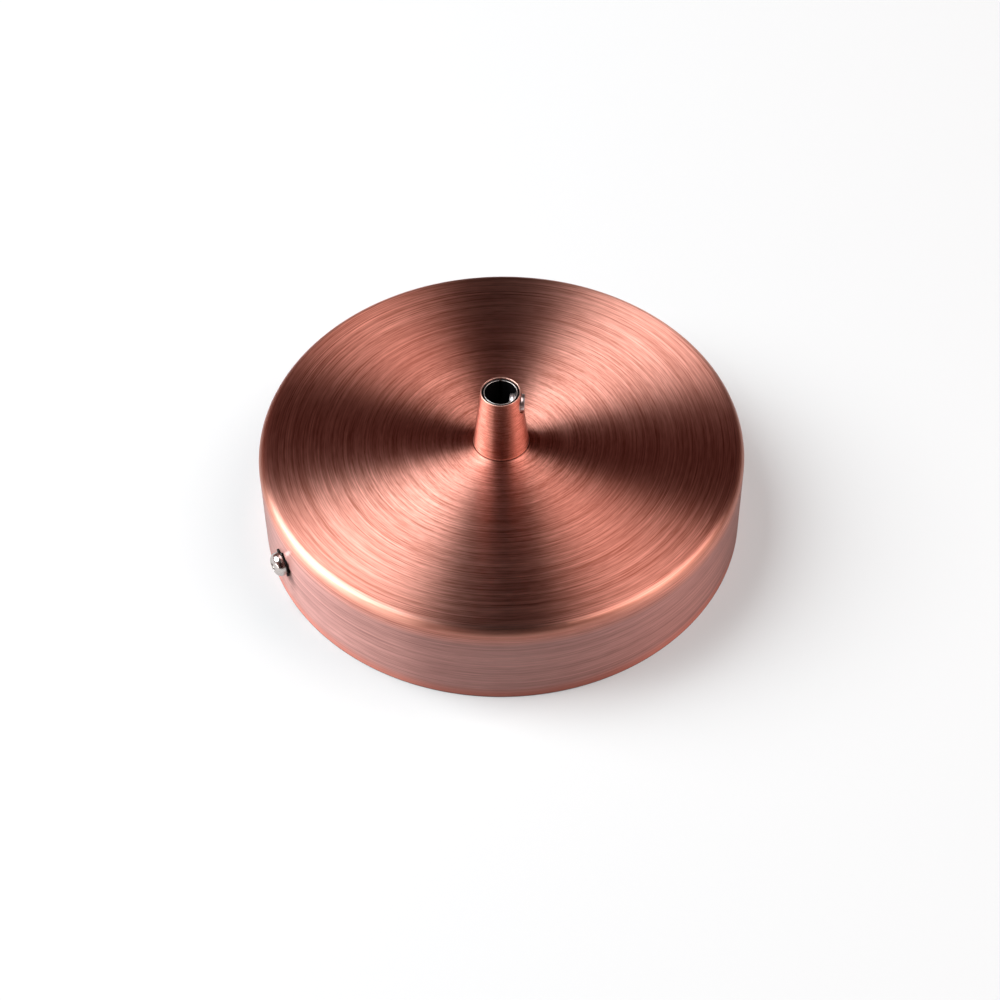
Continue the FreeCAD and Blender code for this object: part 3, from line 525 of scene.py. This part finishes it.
def finish_of(name, dark, light, gloss, grain_size, bump_height, run=12.0, **fixed):
    """A surface whose colour, gloss and height all follow its own fine grain."""
    material, tree, shader = new_material(name, **fixed)
    marks = put(tree, "ShaderNodeGroup", {"Size": grain_size, "Run": run}, node_tree=fine_grain).outputs
    grain, scuffs, specks = (marks[label] for label in ("Grain", "Scuffs", "Specks"))
    base = blend(tree, ramp(tree, grain, 0.3, 0.7), dark, light)
    base = blend(tree, maths(tree, "MULTIPLY", specks, 0.35), base, dark)
    tree.links.new(base, shader.inputs["Base Color"])
    mixed = maths(tree, "ADD", maths(tree, "MULTIPLY", grain, 0.6), maths(tree, "MULTIPLY", scuffs, 0.4))
    tree.links.new(ramp(tree, mixed, 0.2, 0.8, *gloss), shader.inputs["Roughness"])
    raised = maths(tree, "SUBTRACT", grain, maths(tree, "MULTIPLY", scuffs, 0.5))
    bump = put(tree, "ShaderNodeBump", {"Height": raised, "Strength": 0.5, "Distance": bump_height})
    tree.links.new(bump.outputs[0], shader.inputs["Normal"])
    return material


grip_low, grip_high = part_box("cord_grip_body")
foot_corner = (CONE_FOOT - FOOT_EDGE, cover_height + FOOT_GROOVE + FOOT_EDGE)
mouth_corner = (CONE_MOUTH - CONE_EDGE / 2, grip_high.z - CONE_EDGE / 2)
groove_radius = CONE_FOOT - 3 * FOOT_GROOVE
stem_outside = [
    (STEM_CORE, grip_low.z + RIM_BREAK), (STEM_CORE, cover_height), (groove_radius, cover_height),
    (groove_radius, foot_corner[1] - FOOT_EDGE)]
cone_side = [(cone_radius(height), height) for height in (
    foot_corner[1] + FOOT_BAND, cover_height + 4 * CONE_EDGE, (cover_height + grip_high.z) / 2,
    grip_high.z - 2 * CONE_EDGE)]
cone_bore = [
    (LINER_BORE, grip_high.z - 4 * CONE_EDGE), (LINER_BORE, LINER_SEAT), (STEM_BORE, LINER_SEAT)]
stem_foot = [
    (STEM_BORE, grip_low.z + RIM_BREAK), (STEM_BORE + RIM_BREAK, grip_low.z),
    (STEM_CORE - RIM_BREAK, grip_low.z)]
grip_copper = turned_copper(
    "Grip copper", pitch=0.22 * MM, arcs=2.0, tones=(paint(172, 92, 74), paint(244, 176, 157)),
    gloss=(0.42, 0.46), lacquer=0.5)
# The cone's foot and mouth edges: polished isotropic copper whose lighter tone is a painted highlight.
rim_polish_and_highlight = finish_of(
    "Rim polish and painted highlight", paint(236, 170, 150), paint(255, 214, 198), gloss=(0.36, 0.46), grain_size=0.3 * MM,
    bump_height=0.002 * MM, metallic=1.0)
# The bore's near-black colour is painted shade in the gap above the sleeve.
bore_painted_shade = finish_of(
    "Bore painted shade", paint(30, 15, 12), paint(58, 30, 24), gloss=(0.4, 0.6), grain_size=0.3 * MM,
    bump_height=0.006 * MM, metallic=0.8)
grip_way = Vector((math.cos(GRIP_SCREW_BEARING), math.sin(GRIP_SCREW_BEARING), 0))
grip_axis = Vector((0, 0, GRIP_SCREW_HEIGHT))
cone = turned(
    "cone", (0, stem_outside), (1, arc(foot_corner, FOOT_EDGE, -90, 6, 6)), (0, cone_side),
    (1, arc(mouth_corner, CONE_EDGE / 2, 6, 180, 8)), (2, cone_bore), (0, stem_foot), steps=192)
for material in (grip_copper, rim_polish_and_highlight, bore_painted_shade):
    cone.data.materials.append(material)
cut(cone, rod(GRIP_SCREW_HOLE, grip_axis, grip_axis + grip_way * 2 * CONE_FOOT))
stem_thread = thread(
    STEM_RADIUS, STEM_PITCH, STEM_THREAD_DEPTH, cover_height - grip_low.z - RIM_BREAK, grip_copper,
    core=(STEM_CORE + STEM_BORE) / 2, columns=97)
stem_thread.transform(Matrix.Translation((0, 0, grip_low.z + RIM_BREAK / 2)))
grip_body = join("grip_body", taken(cone), stem_thread)
tidy_mesh(grip_body.data, outwards=False)
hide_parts("cord_grip_body")
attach(grip_body, "root")


# The liner is a split sleeve of glossy black plastic, pushed into the cone's bore.
# It keeps the cord off the metal, and a hole in its side lets the clamping screw through.
LINER_RADIUS = 4.55 * MM
LINER_WAY = 3.6 * MM
LINER_MOUTH = 3.9 * MM
LINER_GUIDE = 36.05 * MM
LINER_LIP = 0.11 * MM
SLIT_BEARING = math.radians(62.5)
SLIT_WIDTH = 0.6 * MM


def block(low, high, turn=None):
    """A plain box between two corners, used to cut slits and slots."""
    work = bmesh.new()
    bmesh.ops.create_cube(work, size=1.0)
    middle, size = (Vector(low) + Vector(high)) / 2, Vector(high) - Vector(low)
    placed = (turn or Matrix()) @ Matrix.Translation(middle) @ Matrix.Diagonal((*size, 1))
    bmesh.ops.transform(work, matrix=placed, verts=work.verts)
    mesh = bpy.data.meshes.new("cutter")
    work.to_mesh(mesh)
    work.free()
    return new_piece("cutter", mesh)


liner_low, liner_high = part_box("grip_liner")
lip_middle = (LINER_MOUTH + LINER_LIP, liner_high.z - LINER_LIP)
liner_outside = [
    (LINER_RADIUS, liner_low.z), (LINER_RADIUS, liner_high.z - LINER_LIP / 2),
    (LINER_MOUTH + 2 * LINER_LIP, liner_high.z - LINER_LIP / 2)]
lip = arc(lip_middle, LINER_LIP, 50, 180, 8)
liner_inside = [lip[-1], (LINER_WAY, LINER_GUIDE), (LINER_WAY, liner_low.z)]
liner = turned("grip_sleeve", (0, liner_outside), (1, lip[:-1]), (0, liner_inside), steps=160)
liner.data.materials.append(finish_of(
    "Black sleeve", paint(10, 10, 11), paint(20, 19, 20), gloss=(0.08, 0.2), grain_size=0.3 * MM,
    bump_height=0.002 * MM, specular_ior_level=0.6))
# The sleeve's rounded inner lip is painted pale grey and metallic as a painted highlight ring.
liner.data.materials.append(finish_of(
    "Sleeve lip painted highlight", paint(176, 170, 166), paint(214, 208, 204), gloss=(0.2, 0.34), grain_size=0.2 * MM,
    bump_height=0.002 * MM, metallic=0.7))
cut(liner,
    block((0, -SLIT_WIDTH / 2, 0), (2 * LINER_RADIUS, SLIT_WIDTH / 2, 2 * liner_high.z),
          Matrix.Rotation(SLIT_BEARING, 4, "Z")),
    rod(GRIP_SCREW_HOLE, grip_axis, grip_axis + grip_way * 2 * LINER_RADIUS))
tidy_mesh(liner.data, outwards=False)
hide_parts("grip_liner")
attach(liner, "root")


# The grip's clamping screw is a short nickel-plated stud with a slot and no head.
# It goes in from the side of the cone and presses on the cord through the sleeve's hole.
SCREW_SLOT = 0.8 * MM
GRIP_SCREW_SLOT_DEPTH = 1.0 * MM
GRIP_SCREW_RADIUS = 2.5 * MM
GRIP_SCREW_INNER = 2.18 * MM
GRIP_SCREW_OUTER = 5.78 * MM


def lay(mesh, place, way):
    """Moves a mesh made upright at the origin to a place, with its top pointing a given way."""
    mesh.transform(Matrix.Translation(place) @ Vector(way).to_track_quat("Z", "Y").to_matrix().to_4x4())
    return mesh


satin_nickel = finish_of(
    "Satin nickel", paint(186, 176, 174), paint(216, 208, 206), gloss=(0.3, 0.44), grain_size=0.15 * MM,
    bump_height=0.002 * MM, metallic=1.0)
stud_length = GRIP_SCREW_OUTER - GRIP_SCREW_INNER
stud = new_piece("clamp_stud", thread(
    GRIP_SCREW_RADIUS, pitch=0.8 * MM, depth=0.42 * MM, length=stud_length, material=satin_nickel,
    plain=0.4 * MM, columns=73))
cut(stud, block((-GRIP_SCREW_RADIUS * 2, -SCREW_SLOT / 2, stud_length - GRIP_SCREW_SLOT_DEPTH),
                (GRIP_SCREW_RADIUS * 2, SCREW_SLOT / 2, stud_length * 2)))
lay(stud.data, grip_axis + grip_way * GRIP_SCREW_INNER, grip_way)
tidy_mesh(stud.data, outwards=False)
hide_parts("grip_screw")
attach(stud, "grip_screw")


# Under the cover a toothed washer and a thin six-sided nut hold the grip's stem.
# Both are stamped or cut from zinc-plated steel; the washer's teeth bite into the cover.
NUT_EDGE = 0.15 * MM
EDGE_ANGLE = 40


def softened(node, name, edge):
    """A solid's own shape with its doubles merged and its edges broken, as a new piece."""
    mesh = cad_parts[node].data.copy()
    mesh.materials.clear()
    work = bmesh.new()
    work.from_mesh(mesh)
    bmesh.ops.remove_doubles(work, verts=work.verts, dist=DOUBLE_GAP)
    bmesh.ops.dissolve_limit(
        work, angle_limit=math.radians(0.5), verts=work.verts, edges=work.edges)
    work.to_mesh(mesh)
    work.free()
    piece = new_piece(name, mesh)
    bevel = piece.modifiers.new("Edges", "BEVEL")
    bevel.width, bevel.segments, bevel.angle_limit = edge, 2, math.radians(EDGE_ANGLE)
    bevel.limit_method = "ANGLE"
    bevel.use_clamp_overlap = True
    settle(piece)
    tidy_mesh(piece.data, sharp=EDGE_ANGLE, outwards=False)
    level = piece.modifiers.new("Level", "WEIGHTED_NORMAL")
    level.keep_sharp = True
    return settle(piece)


def toothed_ring_tree():
    """A flat ring with twisted teeth round its edge."""
    tree, given, result = geometry_tree(
        "Toothed ring", Bore="Float", Ring="Float", Tip="Float", Thickness="Float", Width="Float",
        Twist="Float", Teeth="Int", Material="Material")
    middle = maths(tree, "DIVIDE", maths(tree, "ADD", given["Bore"], given["Ring"]), 2.0)
    circle = put(tree, "GeometryNodeCurvePrimitiveCircle", {"Resolution": 96, "Radius": middle})
    section = put(tree, "GeometryNodeCurvePrimitiveQuadrilateral", {
        "Width": maths(tree, "SUBTRACT", given["Ring"], given["Bore"]), "Height": given["Thickness"]})
    ring = put(tree, "GeometryNodeCurveToMesh", {
        "Curve": circle.outputs["Curve"], "Profile Curve": section.outputs["Curve"]})
    reach = maths(tree, "SUBTRACT", given["Tip"], middle)
    size = put(tree, "ShaderNodeCombineXYZ", {"X": reach, "Y": given["Width"], "Z": given["Thickness"]})
    bar = put(tree, "GeometryNodeMeshCube", {"Size": size.outputs[0], "Vertices X": 6})
    spot = put(tree, "GeometryNodeInputPosition").outputs[0]
    along = put(tree, "ShaderNodeSeparateXYZ", {0: spot}).outputs["X"]
    out = maths(tree, "ADD", maths(tree, "DIVIDE", along, reach), 0.5)
    taper = put(tree, "ShaderNodeCombineXYZ", {
        "X": 1.0, "Y": ramp(tree, out, 0.5, 1.0, 1.0, 0.15), "Z": 1.0}).outputs[0]
    narrowed = put(tree, "ShaderNodeVectorMath", {0: spot, 1: taper}, operation="MULTIPLY")
    bend = maths(tree, "MULTIPLY", ramp(tree, out, 0.35, 1.0), given["Twist"])
    twisted = put(tree, "ShaderNodeVectorRotate", {
        "Vector": narrowed.outputs[0], "Axis": (1.0, 0.0, 0.0), "Angle": bend})
    moved = put(tree, "ShaderNodeVectorMath", {
        0: twisted.outputs[0],
        1: put(tree, "ShaderNodeCombineXYZ", {
            "X": maths(tree, "ADD", middle, maths(tree, "DIVIDE", reach, 2.0))}).outputs[0]})
    tooth = put(tree, "GeometryNodeSetPosition", {
        "Geometry": bar.outputs["Mesh"], "Position": moved.outputs[0]}).outputs[0]
    centres = put(tree, "GeometryNodeMeshLine", {"Count": given["Teeth"], "Offset": (0.0, 0.0, 0.0)})
    turn = maths(tree, "MULTIPLY", put(tree, "GeometryNodeInputIndex").outputs[0],
                 maths(tree, "DIVIDE", math.tau, given["Teeth"]))
    facing = put(tree, "FunctionNodeEulerToRotation", {
        "Euler": put(tree, "ShaderNodeCombineXYZ", {"Z": turn}).outputs[0]})
    teeth = put(tree, "GeometryNodeInstanceOnPoints", {
        "Points": centres.outputs["Mesh"], "Instance": tooth, "Rotation": facing.outputs[0]})
    both = tree.nodes.new("GeometryNodeJoinGeometry")
    for part in (ring.outputs[0], teeth.outputs[0]):
        tree.links.new(part, both.inputs[0])
    return close_tree(tree, both.outputs[0], given, result)


toothed_ring = toothed_ring_tree()
zinc = finish_of(
    "Zinc plate", paint(168, 170, 172), paint(206, 209, 212), gloss=(0.28, 0.44), grain_size=0.25 * MM,
    bump_height=0.004 * MM, metallic=1.0)
washer_low, washer_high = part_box("grip_lock_washer")
lock_ring = grow(
    toothed_ring, Bore=5.05 * MM, Ring=7.5 * MM, Tip=9.0 * MM, Thickness=0.5 * MM, Width=2.2 * MM,
    Twist=math.radians(20), Teeth=12, Material=zinc)
lock_washer = new_piece("grip_toothed_washer", lay(
    lock_ring, (0, 0, (washer_low.z + washer_high.z) / 2), (0, 0, 1)))
nut = softened("grip_nut", "grip_hex_nut", NUT_EDGE)
nut.data.materials.append(zinc)
for piece, node in ((lock_washer, "grip_lock_washer"), (nut, "grip_nut")):
    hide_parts(node)
    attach(piece, "root")


# The bracket is a strap of zinc-plated steel against the ceiling, with both ends bent away from it.
# Two screws through its slots fix it; the cover hangs from the threaded collars in its ears.
BRACKET_EDGE = 0.18 * MM
bracket = softened("bracket", "ceiling_bracket", BRACKET_EDGE)
bracket.data.materials.append(finish_of(
    "Bracket zinc", paint(176, 180, 184), paint(212, 216, 220), gloss=(0.24, 0.42), grain_size=0.35 * MM,
    bump_height=0.003 * MM, run=30.0, metallic=1.0))
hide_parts("bracket")
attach(bracket, "root")


# Two domed screws with crossed recesses go through the cover's side into the bracket.
# They are nickel-plated steel, each with a black toothed washer under its head.
SIDE_HEAD = 3.0 * MM
SIDE_CROWN = 1.68 * MM
SIDE_HEAD_HEIGHT = 2.4 * MM
SIDE_SHANK = 1.5 * MM
SCREW_POINT = 0.4 * MM
SHANK_IN_HEAD = 0.1 * MM


def head_of(radius, height, crown, material, steps=96):
    """A round screw head with a domed top, standing on the origin."""
    edge = crown / 12
    outline = [(0.0, 0.0), (radius - edge, 0.0), (radius, edge)]
    outline += arc((radius - crown, height - crown), crown, 0, 90, 12)
    outline += [(0.0, height)]
    mesh = taken(turned("head", (0, outline), steps=steps))
    mesh.materials.append(material)
    return new_piece("head", mesh)


def cross_recess(width, arm, top, depth):
    """The cutter for a crossed recess, narrower at its foot than at its mouth."""
    cutters = []
    for quarter in (0, 1):
        cutter = block((-width / 2, -arm / 2, top - depth), (width / 2, arm / 2, top + depth),
                       Matrix.Rotation(quarter * math.pi / 2, 4, "Z"))
        for vertex in cutter.data.vertices:
            if vertex.co.z < top:
                vertex.co.x *= 0.5
                vertex.co.y *= 0.5
        cutters.append(cutter)
    return cutters


side_nickel = finish_of(
    "Bright nickel", paint(206, 202, 198), paint(236, 233, 230), gloss=(0.18, 0.3), grain_size=0.15 * MM,
    bump_height=0.002 * MM, metallic=1.0)
black_steel = finish_of(
    "Black washer", paint(24, 22, 22), paint(44, 41, 40), gloss=(0.28, 0.45), grain_size=0.2 * MM,
    bump_height=0.004 * MM, metallic=0.6)
for side, label in ((1, "right"), (-1, "left")):
    way = Vector((side, 0, 0))
    screw_low, screw_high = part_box(f"side_screw_{label}")
    tip, face = sorted((abs(screw_low.x), abs(screw_high.x)))
    seat = face - SIDE_HEAD_HEIGHT
    head = head_of(SIDE_HEAD, SIDE_HEAD_HEIGHT, SIDE_CROWN, side_nickel)
    cut(head, *cross_recess(width=3.4 * MM, arm=0.9 * MM, top=SIDE_HEAD_HEIGHT, depth=1.4 * MM))
    head_mesh = lay(taken(head), way * seat + Vector((0, 0, SIDE_HOLE_HEIGHT)), way)
    shank = thread(SIDE_SHANK, pitch=0.5 * MM, depth=0.28 * MM, length=seat - tip + 2 * SHANK_IN_HEAD,
                   material=side_nickel, point=SCREW_POINT)
    lay(shank, way * tip + Vector((0, 0, SIDE_HOLE_HEIGHT)), way)
    side_screw = join(f"side_screw_{label}_nickel", head_mesh, shank)
    tidy_mesh(side_screw.data, outwards=False)
    washer_low, washer_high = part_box(f"side_washer_{label}")
    ring = grow(
        toothed_ring, Bore=1.55 * MM, Ring=2.9 * MM, Tip=3.6 * MM, Thickness=0.46 * MM,
        Width=1.5 * MM, Twist=math.radians(12), Teeth=8, Material=black_steel)
    centre = way * (abs(washer_low.x) + abs(washer_high.x)) / 2 + Vector((0, 0, SIDE_HOLE_HEIGHT))
    side_washer = new_piece(f"side_washer_{label}_black", lay(ring, centre, way))
    for piece, node, slot in ((side_screw, f"side_screw_{label}", "nickel_screw"),
                              (side_washer, f"side_washer_{label}", "black_washer")):
        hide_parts(node)
        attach(piece, f"side_screw_{label}")


# The terminal block is one moulding of pale plastic: three twin-chimneyed barrels on a web.
# A tapped brass tube lies in each barrel, and two screws hold the block to the bracket.
MOULDING_EDGE = 0.2 * MM
terminal_block = softened("terminal_block", "terminal_moulding", MOULDING_EDGE)
terminal_block.data.materials.append(finish_of(
    "Pale moulding", paint(212, 208, 196), paint(232, 229, 219), gloss=(0.34, 0.5), grain_size=0.18 * MM,
    bump_height=0.012 * MM, run=2.0))
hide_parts("terminal_block")
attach(terminal_block, "root")

BRASS_EDGE = 0.12 * MM
brass = finish_of(
    "Terminal brass", paint(176, 140, 74), paint(216, 182, 112), gloss=(0.24, 0.4), grain_size=0.2 * MM,
    bump_height=0.004 * MM, metallic=1.0)
for pole in (1, 2, 3):
    tube = softened(f"terminal_tube_{pole}", f"terminal_brass_{pole}", BRASS_EDGE)
    tube.data.materials.append(brass)
    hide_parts(f"terminal_tube_{pole}")
    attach(tube, "root")


# Upright screws: six small ones clamp the wires in the tubes, two hold the block down,
# and one larger brass one with its washer takes the earth wire. All are slotted.
def upright_screw(name, node, radius, pitch, head_radius, head_height, crown, slot_depth, material,
                  point=SCREW_POINT):
    """A slotted screw that stands over its node's own middle."""
    low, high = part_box(node)
    centre = Vector(((low.x + high.x) / 2, (low.y + high.y) / 2, 0))
    seat = high.z - head_height
    head = head_of(head_radius, head_height, crown, material, steps=64)
    cut(head, block((-2 * head_radius, -SCREW_SLOT * 0.4, head_height - slot_depth),
                    (2 * head_radius, SCREW_SLOT * 0.4, 2 * head_height)))
    top = lay(taken(head), centre + Vector((0, 0, seat)), (0, 0, 1))
    shank = thread(radius, pitch, 0.55 * pitch, seat - low.z + SHANK_IN_HEAD, material, point=point)
    lay(shank, centre + Vector((0, 0, low.z)), (0, 0, 1))
    screw = join(name, top, shank)
    tidy_mesh(screw.data, outwards=False)
    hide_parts(node)
    return screw


screw_steel = finish_of(
    "Screw steel", paint(170, 168, 158), paint(206, 204, 194), gloss=(0.26, 0.42), grain_size=0.2 * MM,
    bump_height=0.004 * MM, metallic=1.0)
for count in range(1, 7):
    screw = upright_screw(
        f"terminal_screw_{count}_steel", f"terminal_screw_{count}", radius=1.5 * MM, pitch=0.5 * MM,
        head_radius=1.9 * MM, head_height=1.6 * MM, crown=0.5 * MM, slot_depth=0.8 * MM,
        material=screw_steel, point=0.7 * MM)
    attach(screw, f"terminal_screw_{count}")
for count in (1, 2):
    screw = upright_screw(
        f"fixing_screw_{count}_steel", f"terminal_fixing_screw_{count}", radius=1.5 * MM, pitch=0.5 * MM,
        head_radius=2.75 * MM, head_height=2.0 * MM, crown=1.2 * MM, slot_depth=0.9 * MM, material=zinc)
    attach(screw, "root")

earth_brass = finish_of(
    "Earth brass", paint(184, 146, 74), paint(222, 188, 112), gloss=(0.2, 0.36), grain_size=0.25 * MM,
    bump_height=0.004 * MM, metallic=1.0)
earth_screw = upright_screw(
    "earth_screw_brass", "earth_screw", radius=2.0 * MM, pitch=0.7 * MM, head_radius=4.0 * MM,
    head_height=2.4 * MM, crown=1.5 * MM, slot_depth=1.1 * MM, material=earth_brass)
earth_washer = softened("earth_washer", "earth_washer_brass", BRASS_EDGE)
earth_washer.data.materials.append(earth_brass)
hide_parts("earth_washer")
for piece in (earth_screw, earth_washer):
    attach(piece, "earth_screw")


# The rose stands on a white table under two large soft boxes, one each side of the camera.
# A third one, low and narrow, stands in front on the left and brightens the cup's side.
TABLE_REACH = 0.35
TABLE_TONE = (0.587, 0.572, 0.56, 1.0)
TABLE_LIFT_TONE = (0.8, 0.96, 1.0, 1.0)
TABLE_LIFT = 0.25


def white_table():
    """A matt white surface that reads as plain white to the eye and still holds a shadow."""
    material, tree, shader = new_material(
        "Table", roughness=0.9, base_color=TABLE_TONE, emission_color=TABLE_LIFT_TONE)
    seen = put(tree, "ShaderNodeLightPath").outputs["Is Camera Ray"]
    tree.links.new(maths(tree, "MULTIPLY", seen, TABLE_LIFT), shader.inputs["Emission Strength"])
    return material


table = new_piece("table", bpy.data.meshes.new("table"))
table.data.from_pydata(
    [(-TABLE_REACH, -TABLE_REACH, 0), (TABLE_REACH, -TABLE_REACH, 0),
     (TABLE_REACH, TABLE_REACH, 0), (-TABLE_REACH, TABLE_REACH, 0)], [], [(0, 1, 2, 3)])
table.data.materials.append(white_table())

AIM = Vector((0.54, 2.17, 0.0)) * MM
CAMERA_PLACE = Vector((-176.07, -337.08, 440.38)) * MM
CAMERA_ROLL = math.radians(-0.82)
CAMERA_TURN = math.radians(-27.5)
FOCAL_WIDTHS = 2.28
LAMP_DISTANCE = 1.8
LAMP_WIDTH = 1.2


def soft_box(name, bearing, height_angle, height, watts, tint):
    """A rectangular lamp that faces the rose, at a bearing from the camera's own right."""
    bearing, height_angle = math.radians(bearing) + CAMERA_TURN, math.radians(height_angle)
    lamp = bpy.data.lights.new(name, "AREA")
    lamp.shape = "RECTANGLE"
    lamp.size, lamp.size_y, lamp.energy, lamp.color = LAMP_WIDTH, height, watts, tint
    holder = bpy.data.objects.new(name, lamp)
    way = Vector((math.cos(bearing) * math.cos(height_angle),
                  math.sin(bearing) * math.cos(height_angle), math.sin(height_angle)))
    holder.location = way * LAMP_DISTANCE
    holder.rotation_mode = "QUATERNION"
    holder.rotation_quaternion = way.to_track_quat("Z", "Y")
    bpy.context.scene.collection.objects.link(holder)


soft_box("left_box", bearing=172, height_angle=47, height=1.8, watts=48.5, tint=(0.94, 1.03, 1.07))
soft_box("right_box", bearing=-2, height_angle=55, height=1.25, watts=18.5, tint=(1.0, 0.86, 0.83))
soft_box("low_box", bearing=216, height_angle=5.5, height=0.3, watts=5.2, tint=(0.95, 1.0, 0.98))

ROOM_MIDDLE = (0.006, 0.001, 0.001, 1.0)
ROOM_RIGHT = (0.07, 0.02, 0.016, 1.0)
ROOM_LEFT = (0.2, 0.065, 0.05, 1.0)
world = bpy.data.worlds.new("Room")
world.use_nodes = True
room = world.node_tree
seen = put(room, "ShaderNodeLightPath").outputs["Is Camera Ray"]
camera_right = (math.cos(CAMERA_TURN), math.sin(CAMERA_TURN), 0.0)
sideways = put(room, "ShaderNodeVectorMath", {
    0: put(room, "ShaderNodeTexCoord").outputs["Generated"], 1: camera_right},
    operation="DOT_PRODUCT").outputs["Value"]
walls = blend(room, ramp(room, sideways, 0.1, 0.6), ROOM_MIDDLE, ROOM_RIGHT)
walls = blend(room, ramp(room, sideways, -0.1, -0.6), walls, ROOM_LEFT)
room.links.new(blend(room, seen, walls, (1.0, 1.0, 1.0, 1.0)), room.nodes["Background"].inputs["Color"])
room.nodes["Background"].inputs["Strength"].default_value = 1.0
bpy.context.scene.world = world

lens = bpy.data.cameras.new("camera")
lens.sensor_width = 36.0
lens.lens = FOCAL_WIDTHS * lens.sensor_width
camera = bpy.data.objects.new("camera", lens)
camera.location = CAMERA_PLACE
camera.rotation_mode = "QUATERNION"
camera.rotation_quaternion = (
    (AIM - CAMERA_PLACE).to_track_quat("-Z", "Y") @ Quaternion((0, 0, 1), CAMERA_ROLL))
bpy.context.scene.collection.objects.link(camera)
bpy.context.scene.camera = camera
bpy.context.scene.view_settings.view_transform = "Standard"
